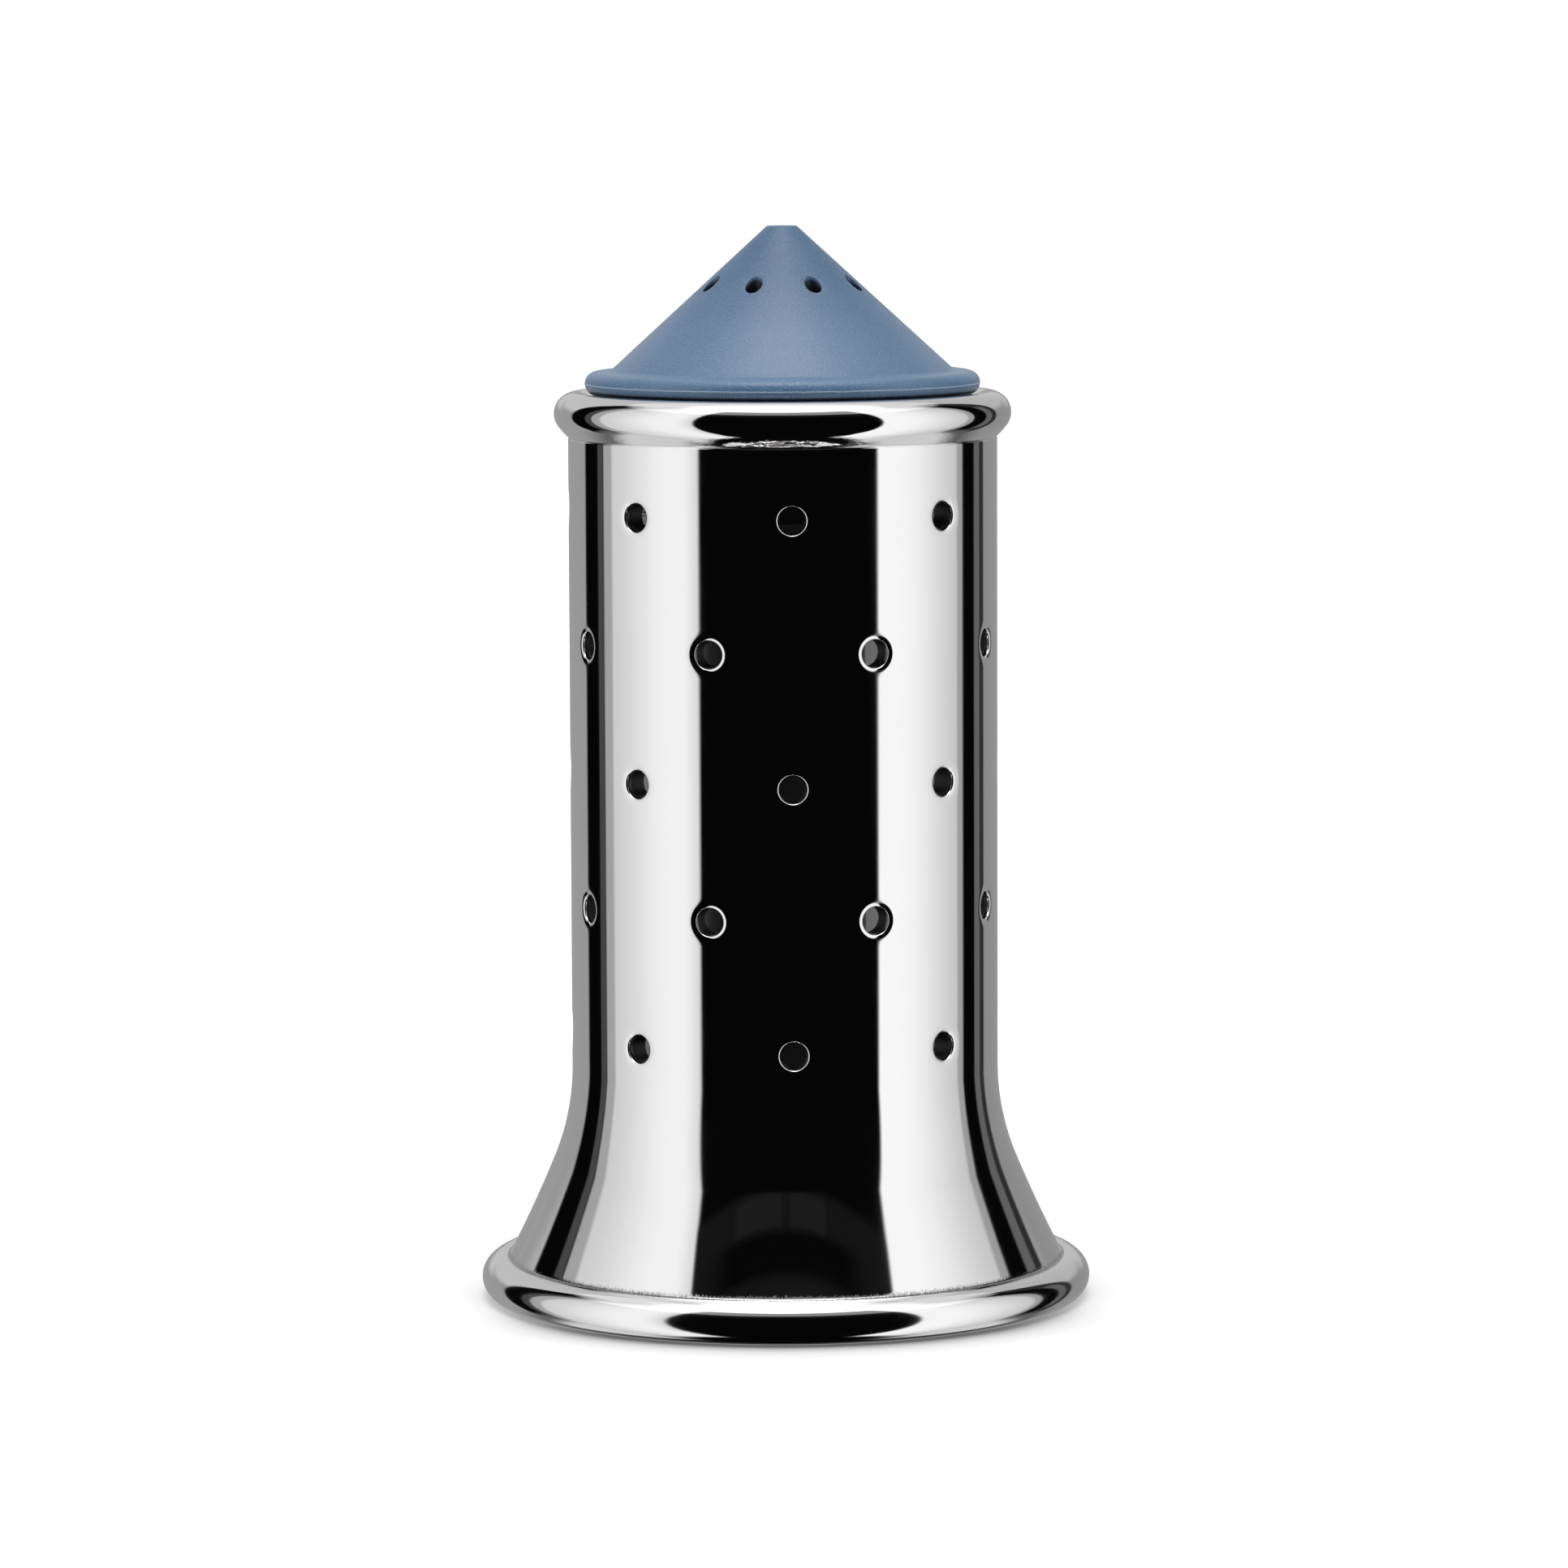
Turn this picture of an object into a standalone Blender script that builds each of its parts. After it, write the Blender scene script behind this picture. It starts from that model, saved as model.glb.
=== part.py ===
"""Table salt shaker: a pierced steel sleeve round a slim plastic salt tube, with a conical screw cap.

Run it with Blender 4.5. It builds one object for each piece, at real size, in metres, with +Z up.
The shaker stands on the plane z = 0 and every piece is turned about the Z axis.
"""

import math

import bmesh
import bpy
from mathutils import Matrix

MM = 0.001

# Facets round the axis, and along the small curves of the profiles
TURN_STEPS = 48
HOLE_STEPS = 10
BEAD_STEPS = 8
SMOOTH_ANGLE = math.radians(35)
WELD = 0.001 * MM

# Steel sleeve: a straight tube with a rolled rim and a flared, rolled foot
SHEET = 0.8 * MM
TUBE_RADIUS = 20.25 * MM
RIM_BEAD_RADIUS = 2.0 * MM
RIM_BEAD_HEIGHT = 84.15 * MM
RIM_BEAD_SETBACK = 0.67 * MM
RIM_FLANK_ANGLE = math.radians(38)
RIM_ROLL_END = math.radians(190)
FLARE_TOP = 22.2 * MM
FLARE_RADIUS = 22.0 * MM
FLARE_ANGLE = math.radians(24.1)
FOOT_BEAD_RADIUS = 2.0 * MM
FOOT_LAPPING = 0.06 * MM
FOOT_CREASE_ANGLE = math.radians(108)
FOOT_ROLL_END = math.radians(-150)

# Round side holes in staggered rows, drawn inwards so that each has a rounded lip and a collar behind it
HOLE_ROWS = 5
HOLES_PER_ROW = 8
HOLE_RADIUS = 1.36 * MM
HOLE_LIP = 0.35 * MM
COLLAR_WALL = 0.4 * MM
COLLAR_DEPTH = 2.5 * MM
TOP_ROW_BELOW_RIM = 6.55 * MM
BOTTOM_ROW_ABOVE_FLARE = 3.45 * MM

# Salt container: a slim tube under a sloping web, with a threaded neck and a shoulder that locks below the rim
CONTAINER_RADIUS = 7.75 * MM
CONTAINER_WALL = 1.2 * MM
SHOULDER_GAP = 0.4 * MM
SHOULDER_EDGE = 1.2 * MM
WEB_ANGLE = math.radians(18)
WEB_WALL = 1.4 * MM
NECK_GAP = 0.35 * MM
NECK_WALL = 2.4 * MM
NECK_LENGTH = 4.7 * MM

# Base plug: closes the salt tube and the foot from below
PLUG_TABLE_GAP = 0.7 * MM
PLUG_THICKNESS = 2.0 * MM
PLUG_GAP = 0.3 * MM
PLUG_RIDGE = 0.55 * MM
PLUG_CHAMFER = 0.3 * MM
SPIGOT_WALL = 1.5 * MM
SPIGOT_HEIGHT = 6.0 * MM

# Cap: a hollow cone on a round-edged flange, with a threaded skirt
SEAT_GAP = 0.35 * MM
FLANGE_OVERLAP = 1.06 * MM
FLANGE_THICKNESS = 2.2 * MM
FLANGE_LEDGE = 2.34 * MM
CONE_HEIGHT = 13.65 * MM
CONE_FILLET = 0.9 * MM
TIP_RADIUS = 1.4 * MM
TIP_ROUND = 0.35 * MM
CAP_WALL = 1.6 * MM
INNER_TIP_RADIUS = 0.6 * MM
SKIRT_GAP = 0.4 * MM
SKIRT_WALL = 1.5 * MM
SKIRT_LENGTH = 6.4 * MM
POUR_HOLES = 8
POUR_HOLE_RADIUS = 0.8 * MM
POUR_RING_RADIUS = 7.2 * MM
POUR_CLOCKING = math.radians(21.3)

# Ring seal at the root of the skirt, in the chamfer of the neck
SEAL_SECTION = 1.0 * MM
SEAL_GAP = 0.3 * MM
LIP_GAP = 0.33 * MM

# How far a cutter runs past the wall that it pierces
CUTTER_REACH = 2.5 * MM

# Places that two or more pieces share
TUBE_BORE = TUBE_RADIUS - SHEET
RIM_CENTRE = (TUBE_RADIUS - RIM_BEAD_SETBACK, RIM_BEAD_HEIGHT)
MOUTH_RADIUS = RIM_CENTRE[0] - RIM_BEAD_RADIUS
FLARE_END = (TUBE_RADIUS + FLARE_RADIUS * (1 - math.cos(FLARE_ANGLE)),
             FLARE_TOP - FLARE_RADIUS * math.sin(FLARE_ANGLE))
FOOT_CENTRE_HEIGHT = FOOT_BEAD_RADIUS - FOOT_LAPPING
FOOT_CREASE_HEIGHT = FOOT_CENTRE_HEIGHT + FOOT_BEAD_RADIUS * math.sin(FOOT_CREASE_ANGLE)
FOOT_CREASE_RADIUS = FLARE_END[0] + (FLARE_END[1] - FOOT_CREASE_HEIGHT) * math.tan(FLARE_ANGLE)
FOOT_CENTRE = (FOOT_CREASE_RADIUS - FOOT_BEAD_RADIUS * math.cos(FOOT_CREASE_ANGLE), FOOT_CENTRE_HEIGHT)

FLANGE_EDGE = FLANGE_THICKNESS / 2
FLANGE_RADIUS = MOUTH_RADIUS + FLANGE_OVERLAP
SEAT_REACH = RIM_BEAD_RADIUS + FLANGE_EDGE + SEAT_GAP
SEAT_STEP = max(0.0, RIM_CENTRE[0] - (FLANGE_RADIUS - FLANGE_EDGE))
CAP_SEAT = RIM_BEAD_HEIGHT + math.sqrt(SEAT_REACH ** 2 - SEAT_STEP ** 2) - FLANGE_EDGE

SHOULDER_RADIUS = TUBE_BORE - SHOULDER_GAP
CONTAINER_BORE = CONTAINER_RADIUS - CONTAINER_WALL
CONTAINER_BOTTOM = PLUG_TABLE_GAP + PLUG_THICKNESS + PLUG_GAP
NECK_RADIUS = MOUTH_RADIUS - NECK_GAP
NECK_BORE = NECK_RADIUS - NECK_WALL
LIP_TOP = CAP_SEAT - LIP_GAP
SKIRT_RADIUS = NECK_BORE - SKIRT_GAP
SEAL_CIRCLE = (SKIRT_RADIUS + SEAL_GAP + SEAL_SECTION / 2, CAP_SEAT - SEAL_GAP - SEAL_SECTION / 2)


def polar(centre, radius, angle):
    """Give the (radius, height) point at an angle on a circle of the profile plane."""
    return (centre[0] + radius * math.cos(angle), centre[1] + radius * math.sin(angle))


def arc(centre, radius, start, end, steps):
    """Give the points of an arc, both ends included."""
    return [polar(centre, radius, start + (end - start) * i / steps) for i in range(steps + 1)]


def turned(outline, closed, steps):
    """Turn a profile of (radius, height) points about Z. An open profile starts and ends on the axis."""
    bm = bmesh.new()
    corners = [bm.verts.new((radius, 0, height)) for radius, height in outline]
    edges = [bm.edges.new(pair) for pair in zip(corners, corners[1:])]
    if closed:
        edges.append(bm.edges.new((corners[-1], corners[0])))
    bmesh.ops.spin(bm, geom=corners + edges, cent=(0, 0, 0), axis=(0, 0, 1),
                   angle=math.tau, steps=steps, use_merge=True)
    bmesh.ops.remove_doubles(bm, verts=bm.verts, dist=WELD)
    bmesh.ops.recalc_face_normals(bm, faces=bm.faces)
    return bm


def finish_piece(name, bm, material, height=0.0):
    """Store a mesh as a named piece at its height on the axis, smooth but for its corners."""
    mesh = bpy.data.meshes.new(name)
    bm.to_mesh(mesh)
    bm.free()
    mesh.shade_smooth()
    mesh.set_sharp_from_angle(angle=SMOOTH_ANGLE)
    mesh.materials.append(material)
    piece = bpy.data.objects.new(name, mesh)
    piece.location.z = height
    bpy.context.scene.collection.objects.link(piece)
    return piece


def combine(piece, tool_name, operation, outline, places):
    """Join or cut a copy of one turned tool at each place, all in one Boolean."""
    tool_mesh = bpy.data.meshes.new(tool_name)
    joined = bmesh.new()
    for place in places:
        single = turned(outline, False, HOLE_STEPS)
        bmesh.ops.transform(single, matrix=place, verts=single.verts)
        single.to_mesh(tool_mesh)
        single.free()
        joined.from_mesh(tool_mesh)
    joined.to_mesh(tool_mesh)
    joined.free()
    tool = bpy.data.objects.new(tool_name, tool_mesh)
    tool.hide_render = True
    tool.display_type = 'WIRE'
    bpy.context.scene.collection.objects.link(tool)
    tool.parent = piece
    boolean = piece.modifiers.new(tool_name, 'BOOLEAN')
    boolean.operation = operation
    boolean.object = tool


def finish_of(name, colour, roughness, metallic):
    """Make a piece's own material."""
    material = bpy.data.materials.new(name)
    material.use_nodes = True
    shader = material.node_tree.nodes['Principled BSDF']
    shader.inputs['Base Color'].default_value = (*colour, 1)
    shader.inputs['Roughness'].default_value = roughness
    shader.inputs['Metallic'].default_value = metallic
    material.diffuse_color = (*colour, 1)
    return material


def flank(bead_radius, wall_radius):
    """Follow the rim's straight flank down from its bead to a wall, and give the point where they meet."""
    start = polar(RIM_CENTRE, bead_radius, -RIM_FLANK_ANGLE)
    length = (start[0] - wall_radius) / math.sin(RIM_FLANK_ANGLE)
    return (wall_radius, start[1] - length * math.cos(RIM_FLANK_ANGLE))


def foot_inner_corner():
    """Give the point where the inner face of the flare runs into the hollow of the foot bead."""
    start = (FLARE_END[0] - SHEET * math.cos(FLARE_ANGLE), FLARE_END[1] - SHEET * math.sin(FLARE_ANGLE))
    along = (math.sin(FLARE_ANGLE), -math.cos(FLARE_ANGLE))
    offset = (FOOT_CENTRE[0] - start[0], FOOT_CENTRE[1] - start[1])
    middle = offset[0] * along[0] + offset[1] * along[1]
    beside = offset[0] * along[1] - offset[1] * along[0]
    reach = middle - math.sqrt((FOOT_BEAD_RADIUS - SHEET) ** 2 - beside ** 2)
    return (start[0] + reach * along[0], start[1] + reach * along[1])


def sleeve_outline():
    """Follow the sheet from the rim's rolled lip down the outside, under the foot, and back up inside."""
    rim_hollow = RIM_BEAD_RADIUS - SHEET
    foot_hollow = FOOT_BEAD_RADIUS - SHEET
    flare_centre = (TUBE_RADIUS + FLARE_RADIUS, FLARE_TOP)
    flare_turn = math.pi + FLARE_ANGLE
    table_angle = math.asin(FOOT_CENTRE_HEIGHT / FOOT_BEAD_RADIUS)
    corner = foot_inner_corner()
    corner_angle = math.atan2(corner[1] - FOOT_CENTRE[1], corner[0] - FOOT_CENTRE[0])

    outside = arc(RIM_CENTRE, RIM_BEAD_RADIUS, RIM_ROLL_END, -RIM_FLANK_ANGLE, BEAD_STEPS + 2)
    outside.append(flank(RIM_BEAD_RADIUS, TUBE_RADIUS))
    outside += arc(flare_centre, FLARE_RADIUS, math.pi, flare_turn, BEAD_STEPS // 2)
    outside += arc(FOOT_CENTRE, FOOT_BEAD_RADIUS, FOOT_CREASE_ANGLE, -table_angle, BEAD_STEPS)
    outside += arc(FOOT_CENTRE, FOOT_BEAD_RADIUS, table_angle - math.pi, FOOT_ROLL_END, 2)

    inside = arc(FOOT_CENTRE, foot_hollow, FOOT_ROLL_END, corner_angle, BEAD_STEPS - 1)
    inside += arc(flare_centre, FLARE_RADIUS + SHEET, flare_turn, math.pi, BEAD_STEPS // 2)
    inside.append(flank(rim_hollow, TUBE_BORE))
    inside += arc(RIM_CENTRE, rim_hollow, -RIM_FLANK_ANGLE, RIM_ROLL_END, BEAD_STEPS - 1)
    return outside + inside


def hole_places():
    """Give the frame of each side hole: its local Z points out of the tube, alternate rows half a step on."""
    top_row = flank(RIM_BEAD_RADIUS, TUBE_RADIUS)[1] - TOP_ROW_BELOW_RIM
    bottom_row = FLARE_TOP + BOTTOM_ROW_ABOVE_FLARE
    pitch = (top_row - bottom_row) / (HOLE_ROWS - 1)
    step = math.tau / HOLES_PER_ROW
    places = []
    for row in range(HOLE_ROWS):
        for hole in range(HOLES_PER_ROW):
            turn = step * (hole + 0.5 * (row % 2))
            height = Matrix.Translation((0, 0, bottom_row + pitch * row))
            places.append(height @ Matrix.Rotation(turn, 4, 'Z') @ Matrix.Rotation(math.pi / 2, 4, 'X'))
    return places


def build_sleeve():
    """Steel sleeve: spun from one sheet, with its holes drawn inwards into short collars."""
    steel = finish_of('polished_steel', (0.75, 0.75, 0.74), 0.08, 1.0)
    sleeve = finish_piece('steel_sleeve', turned(sleeve_outline(), True, TURN_STEPS), steel)
    collar_end = TUBE_RADIUS - COLLAR_DEPTH
    collar_root = TUBE_RADIUS - SHEET / 2
    collar_radius = HOLE_RADIUS + COLLAR_WALL
    collar = [(0, collar_end), (collar_radius, collar_end), (collar_radius, collar_root), (0, collar_root)]
    start = collar_end - CUTTER_REACH
    end = TUBE_RADIUS + CUTTER_REACH
    punch = [(0, start), (HOLE_RADIUS, start), (HOLE_RADIUS, TUBE_RADIUS - HOLE_LIP),
             (HOLE_RADIUS + HOLE_LIP, TUBE_RADIUS), (HOLE_RADIUS + HOLE_LIP, end), (0, end)]
    combine(sleeve, 'side_hole_collars', 'UNION', collar, hole_places())
    combine(sleeve, 'side_hole_punches', 'DIFFERENCE', punch, hole_places())


def build_container():
    """Salt container: a slim tube that stands on the plug and widens to the neck in one moulding."""
    lip = LIP_TOP - CONTAINER_BOTTOM
    neck_foot = lip - NECK_LENGTH
    shoulder = neck_foot - (SHOULDER_RADIUS - NECK_RADIUS)
    web_edge = shoulder - SHOULDER_EDGE

    def under_web(radius):
        """Height of the web's underside."""
        return web_edge - (SHOULDER_RADIUS - radius) * math.tan(WEB_ANGLE)

    def over_web(radius):
        """Height of the web's upper face."""
        return under_web(radius) + WEB_WALL / math.cos(WEB_ANGLE)

    # The chamfer at 45 degrees leaves the seal its clearance all round
    seal = (SEAL_CIRCLE[0], SEAL_CIRCLE[1] - CONTAINER_BOTTOM)
    seal_room = SEAL_SECTION / 2 + SEAL_GAP
    chamfer_foot = seal[1] - (seal[0] - NECK_BORE) - seal_room * math.sqrt(2)
    chamfer_top = NECK_BORE + lip - chamfer_foot
    outline = [(chamfer_top, lip), (NECK_RADIUS, lip), (NECK_RADIUS, neck_foot), (SHOULDER_RADIUS, shoulder),
               (SHOULDER_RADIUS, web_edge), (CONTAINER_RADIUS, under_web(CONTAINER_RADIUS)),
               (CONTAINER_RADIUS, 0), (CONTAINER_BORE, 0), (CONTAINER_BORE, over_web(CONTAINER_BORE)),
               (NECK_BORE, over_web(NECK_BORE)), (NECK_BORE, chamfer_foot)]
    plastic = finish_of('dark_plastic', (0.02, 0.02, 0.022), 0.25, 0.0)
    finish_piece('salt_container', turned(outline, True, TURN_STEPS), plastic, CONTAINER_BOTTOM)


def build_plug():
    """Base plug: a disc that snaps over the foot's rolled lip, with a spigot up into the salt tube."""
    lip_edge = polar(FOOT_CENTRE, FOOT_BEAD_RADIUS, FOOT_ROLL_END)[0]
    lip_top = polar(FOOT_CENTRE, FOOT_BEAD_RADIUS - SHEET, FOOT_ROLL_END)[1]
    disc = lip_edge - PLUG_GAP
    ridge = disc + PLUG_RIDGE
    ridge_foot = lip_top + PLUG_GAP - PLUG_TABLE_GAP
    spigot = CONTAINER_BORE - PLUG_GAP
    top = PLUG_THICKNESS + SPIGOT_HEIGHT
    outline = [(0, PLUG_THICKNESS), (spigot - SPIGOT_WALL, PLUG_THICKNESS), (spigot - SPIGOT_WALL, top),
               (spigot - PLUG_CHAMFER, top), (spigot, top - PLUG_CHAMFER), (spigot, PLUG_THICKNESS),
               (ridge - PLUG_CHAMFER, PLUG_THICKNESS), (ridge, PLUG_THICKNESS - PLUG_CHAMFER),
               (ridge, ridge_foot), (disc, ridge_foot), (disc, PLUG_CHAMFER), (disc - PLUG_CHAMFER, 0), (0, 0)]
    plastic = finish_of('plug_plastic', (0.025, 0.025, 0.027), 0.4, 0.0)
    finish_piece('base_plug', turned(outline, False, TURN_STEPS), plastic, PLUG_TABLE_GAP)


def cap_outline():
    """Follow the cap from its tip down the cone, round the flange, and up inside the skirt and cone."""
    root = FLANGE_RADIUS - FLANGE_LEDGE
    top = FLANGE_THICKNESS + CONE_HEIGHT
    slope = math.atan2(CONE_HEIGHT, root - TIP_RADIUS)
    tip_centre = (TIP_RADIUS - TIP_ROUND * math.tan(slope / 2), top - TIP_ROUND)
    fillet_centre = (root + CONE_FILLET * math.tan(slope / 2), FLANGE_THICKNESS + CONE_FILLET)
    edge_centre = (FLANGE_RADIUS - FLANGE_EDGE, FLANGE_EDGE)
    down = -math.pi / 2
    bore = SKIRT_RADIUS - SKIRT_WALL

    def inner_height(radius):
        """Height of the inner cone, one wall inside the outer one."""
        return FLANGE_THICKNESS + (root - radius) * math.tan(slope) - CAP_WALL / math.cos(slope)

    outside = [(0, top)]
    outside += arc(tip_centre, TIP_ROUND, -down, -down - slope, 2)
    outside += arc(fillet_centre, CONE_FILLET, down - slope, down, 3)
    outside += arc(edge_centre, FLANGE_EDGE, -down, down, BEAD_STEPS)
    skirt = [(SKIRT_RADIUS, 0), (SKIRT_RADIUS, -SKIRT_LENGTH), (bore, -SKIRT_LENGTH)]
    inside = [(bore, inner_height(bore)), (INNER_TIP_RADIUS, inner_height(INNER_TIP_RADIUS)),
              (0, inner_height(INNER_TIP_RADIUS))]
    return outside + skirt + inside


def build_cap():
    """Cone cap: moulded in one, with its pour holes along the draw of the mould."""
    blue = finish_of('blue_plastic', (0.14, 0.24, 0.35), 0.5, 0.0)
    cap = finish_piece('cone_cap', turned(cap_outline(), False, TURN_STEPS), blue, CAP_SEAT)
    pin_top = FLANGE_THICKNESS + CONE_HEIGHT + CUTTER_REACH
    pin = [(0, 0), (POUR_HOLE_RADIUS, 0), (POUR_HOLE_RADIUS, pin_top), (0, pin_top)]
    places = []
    for hole in range(POUR_HOLES):
        turn = Matrix.Rotation(math.tau * hole / POUR_HOLES + POUR_CLOCKING - math.pi / 2, 4, 'Z')
        places.append(turn @ Matrix.Translation((POUR_RING_RADIUS, 0, 0)))
    combine(cap, 'pour_hole_pins', 'DIFFERENCE', pin, places)


def build_seal():
    """Cap seal: a rubber ring that lies round the root of the skirt."""
    rubber = finish_of('seal_rubber', (0.03, 0.03, 0.03), 0.7, 0.0)
    ring = arc((SEAL_CIRCLE[0], 0), SEAL_SECTION / 2, 0, math.tau, BEAD_STEPS)[:-1]
    finish_piece('cap_seal', turned(ring, True, TURN_STEPS), rubber, SEAL_CIRCLE[1])


def main():
    for old in list(bpy.data.objects):
        bpy.data.objects.remove(old, do_unlink=True)
    build_sleeve()
    build_container()
    build_plug()
    build_cap()
    build_seal()


main()
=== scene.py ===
# %% [markdown]
# # A salt shaker in mirror-polished steel
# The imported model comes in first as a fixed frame, in metres, standing on z = 0 with its front to -Y.
# Every piece below is a finer stand-in for one of its nodes, and keeps that node's place and size. All five
# pieces are turned about the Z axis, so their sizes are radii and heights, written in millimetres.

# %% Load the frame
import math
import bmesh
import bpy
import numpy as np
from mathutils import Matrix, Vector


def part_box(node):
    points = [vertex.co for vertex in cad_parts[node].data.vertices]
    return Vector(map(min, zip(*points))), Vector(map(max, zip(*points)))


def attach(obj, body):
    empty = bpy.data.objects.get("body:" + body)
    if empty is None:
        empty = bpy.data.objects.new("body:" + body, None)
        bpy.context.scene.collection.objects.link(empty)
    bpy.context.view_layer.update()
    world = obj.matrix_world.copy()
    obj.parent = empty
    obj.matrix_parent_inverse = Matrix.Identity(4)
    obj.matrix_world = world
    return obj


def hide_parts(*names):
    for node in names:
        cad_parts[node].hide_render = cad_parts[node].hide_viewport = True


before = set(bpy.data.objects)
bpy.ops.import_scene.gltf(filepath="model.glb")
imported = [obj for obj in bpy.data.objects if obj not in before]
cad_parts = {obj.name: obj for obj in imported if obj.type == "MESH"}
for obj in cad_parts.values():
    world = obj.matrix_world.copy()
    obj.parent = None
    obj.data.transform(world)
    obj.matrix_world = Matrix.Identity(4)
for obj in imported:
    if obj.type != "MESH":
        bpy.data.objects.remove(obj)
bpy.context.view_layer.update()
MM = 0.001


def extent(node):
    """Give a node's outer radius, its foot and its top, in millimetres."""
    low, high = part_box(node)
    return high.x / MM, low.z / MM, high.z / MM


# %% [markdown]
# ## The camera
# The photograph was taken with a long lens from a little above the middle. Three things fix such a view: the
# direction, the distance (it sets how much larger near things look) and the lens. They follow from the rows
# of holes and from how round each edge looks, so the lens needs no shift.

# %% Camera
PHOTO_SIDE = 1932
FOCAL_PIXELS = 8678.6
SENSOR = 36.0
CAMERA_DISTANCE = 668.25
CAMERA_AIM_HEIGHT = 48.85
CAMERA_AZIMUTH = -2.373
CAMERA_ELEVATION = 6.05
CAMERA_ROLL = -0.231

camera_data = bpy.data.cameras.new("camera")
camera_data.sensor_width = SENSOR
camera_data.lens = FOCAL_PIXELS * SENSOR / PHOTO_SIDE
camera = bpy.data.objects.new("camera", camera_data)
bpy.context.scene.collection.objects.link(camera)
bpy.context.scene.camera = camera

side, rise = math.radians(CAMERA_AZIMUTH), math.radians(CAMERA_ELEVATION)
to_camera = Vector((math.sin(side) * math.cos(rise), -math.cos(side) * math.cos(rise), math.sin(rise)))
place = Vector((0, 0, CAMERA_AIM_HEIGHT)) + to_camera * CAMERA_DISTANCE
turn = to_camera.to_track_quat("Z", "Y").to_matrix().to_4x4()
camera.matrix_world = (Matrix.Translation(place * MM) @ turn
                       @ Matrix.Rotation(math.radians(CAMERA_ROLL), 4, "Z"))
bpy.context.scene.view_settings.view_transform = "Standard"
print("lens", round(camera_data.lens, 1), "mm, camera at", [round(v, 1) for v in place])

# %% [markdown]
# ## The studio
# Polished steel has no look of its own: it shows the room. A tall white panel hangs on each side, the room
# behind the camera is black, and a large soft lamp is overhead. Panels could be planes that glow, but a sky
# that is painted by direction does the same, with nothing in the way of the other views. First come a
# few small helpers, because a shader is quicker to read as sums than as a list of nodes and links.

# %% Shader helpers
def add(tree, kind, *values, **settings):
    """Add a node: values fill its inputs in order, as numbers or links, and None leaves one as it is."""
    node = tree.nodes.new(kind)
    for name, value in settings.items():
        setattr(node, name, value)
    shown = [socket for socket in node.inputs if socket.enabled]
    for socket, value in zip(shown, values):
        if isinstance(value, bpy.types.NodeSocket):
            tree.links.new(value, socket)
        elif value is not None:
            socket.default_value = value
    return node


def maths(tree, operation, *values):
    """Add a Math node and give its result."""
    return add(tree, "ShaderNodeMath", *values, operation=operation).outputs[0]


def product(tree, first, *others):
    """Multiply numbers, given as numbers or links."""
    for other in others:
        first = maths(tree, "MULTIPLY", first, other)
    return first


def ease(tree, value, start, end, low=0.0, high=1.0):
    """Give low up to start and high from end on, with a smooth step between."""
    node = add(tree, "ShaderNodeMapRange", value, start, end, low, high, interpolation_type="SMOOTHSTEP")
    return node.outputs[0]


def mix(tree, share, first, second, kind="FLOAT"):
    """Blend two numbers, given as numbers or links."""
    node = add(tree, "ShaderNodeMix", share, first, second, data_type=kind)
    return next(output for output in node.outputs if output.enabled)


def blend_colour(tree, share, first, second):
    """Blend two colours, given as colours or links."""
    return mix(tree, share, first, second, kind="RGBA")


# %% Directions in the sky
world = bpy.data.worlds.new("studio")
bpy.context.scene.world = world
world.use_nodes = True
sky = world.node_tree
sky.nodes.clear()
direction = add(sky, "ShaderNodeTexCoord").outputs["Generated"]
east, north, up = add(sky, "ShaderNodeSeparateXYZ", direction).outputs
heading = maths(sky, "ARCTAN2", east, product(sky, north, -1.0))
azimuth = maths(sky, "SUBTRACT", maths(sky, "DEGREES", heading), CAMERA_AZIMUTH)
elevation = maths(sky, "DEGREES", maths(sky, "ARCSINE", up))
print("sky directions ready, azimuth 0 is the camera's side")

# %% [markdown]
# The room itself is grey, lighter in its upper part and on the far wall, and black towards the floor. Panels
# are laid over it like sheets of paper, each over those before it, in degrees to the right of the camera. A
# panel has soft edges, as a real softbox has, and may fade from its first brightness to its second.

# %% Room
def panel(below, azimuths, elevations, light, dim=None, fade=(0, 1), soft=1.2, soft_height=5.0):
    """Lay a panel with soft edges over what is there."""
    left, right = azimuths
    foot, top = elevations
    cover = product(sky, ease(sky, azimuth, left - soft, left + soft),
                    ease(sky, azimuth, right - soft, right + soft, 1, 0),
                    ease(sky, elevation, foot - soft_height, foot + soft_height),
                    ease(sky, elevation, top - soft_height, top + soft_height, 1, 0))
    glow = ease(sky, azimuth, *fade, light, light if dim is None else dim)
    return mix(sky, cover, below, glow)


BLACK = 0.002
ROOM_LEFT, ROOM_RIGHT = 0.38, 0.315
ROOM_LIFT, ROOM_FOOT = 0.7, 0.2
room = ease(sky, east, -0.8, 0.8, ROOM_LEFT, ROOM_RIGHT)
far_wall = product(sky, ease(sky, elevation, 1, 8), ease(sky, north, 0.84, 0.97))
upper = maths(sky, "MAXIMUM", ease(sky, elevation, 6, 16), far_wall)
room = product(sky, room, maths(sky, "MULTIPLY_ADD", upper, ROOM_LIFT, 1.0),
               ease(sky, elevation, -44, -24, ROOM_FOOT, 1.0))
shade = mix(sky, ease(sky, elevation, -60, -46, 1, 0), room, BLACK)
print("room:", len(sky.nodes), "sky nodes")

# %% [markdown]
# These panels give the steel its upright bands. A tall window stands on each side, brightest where it is
# nearest to the front, and beyond it come black and grey strips. All of the front is dark. Two low panels
# light the beads from below.

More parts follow.
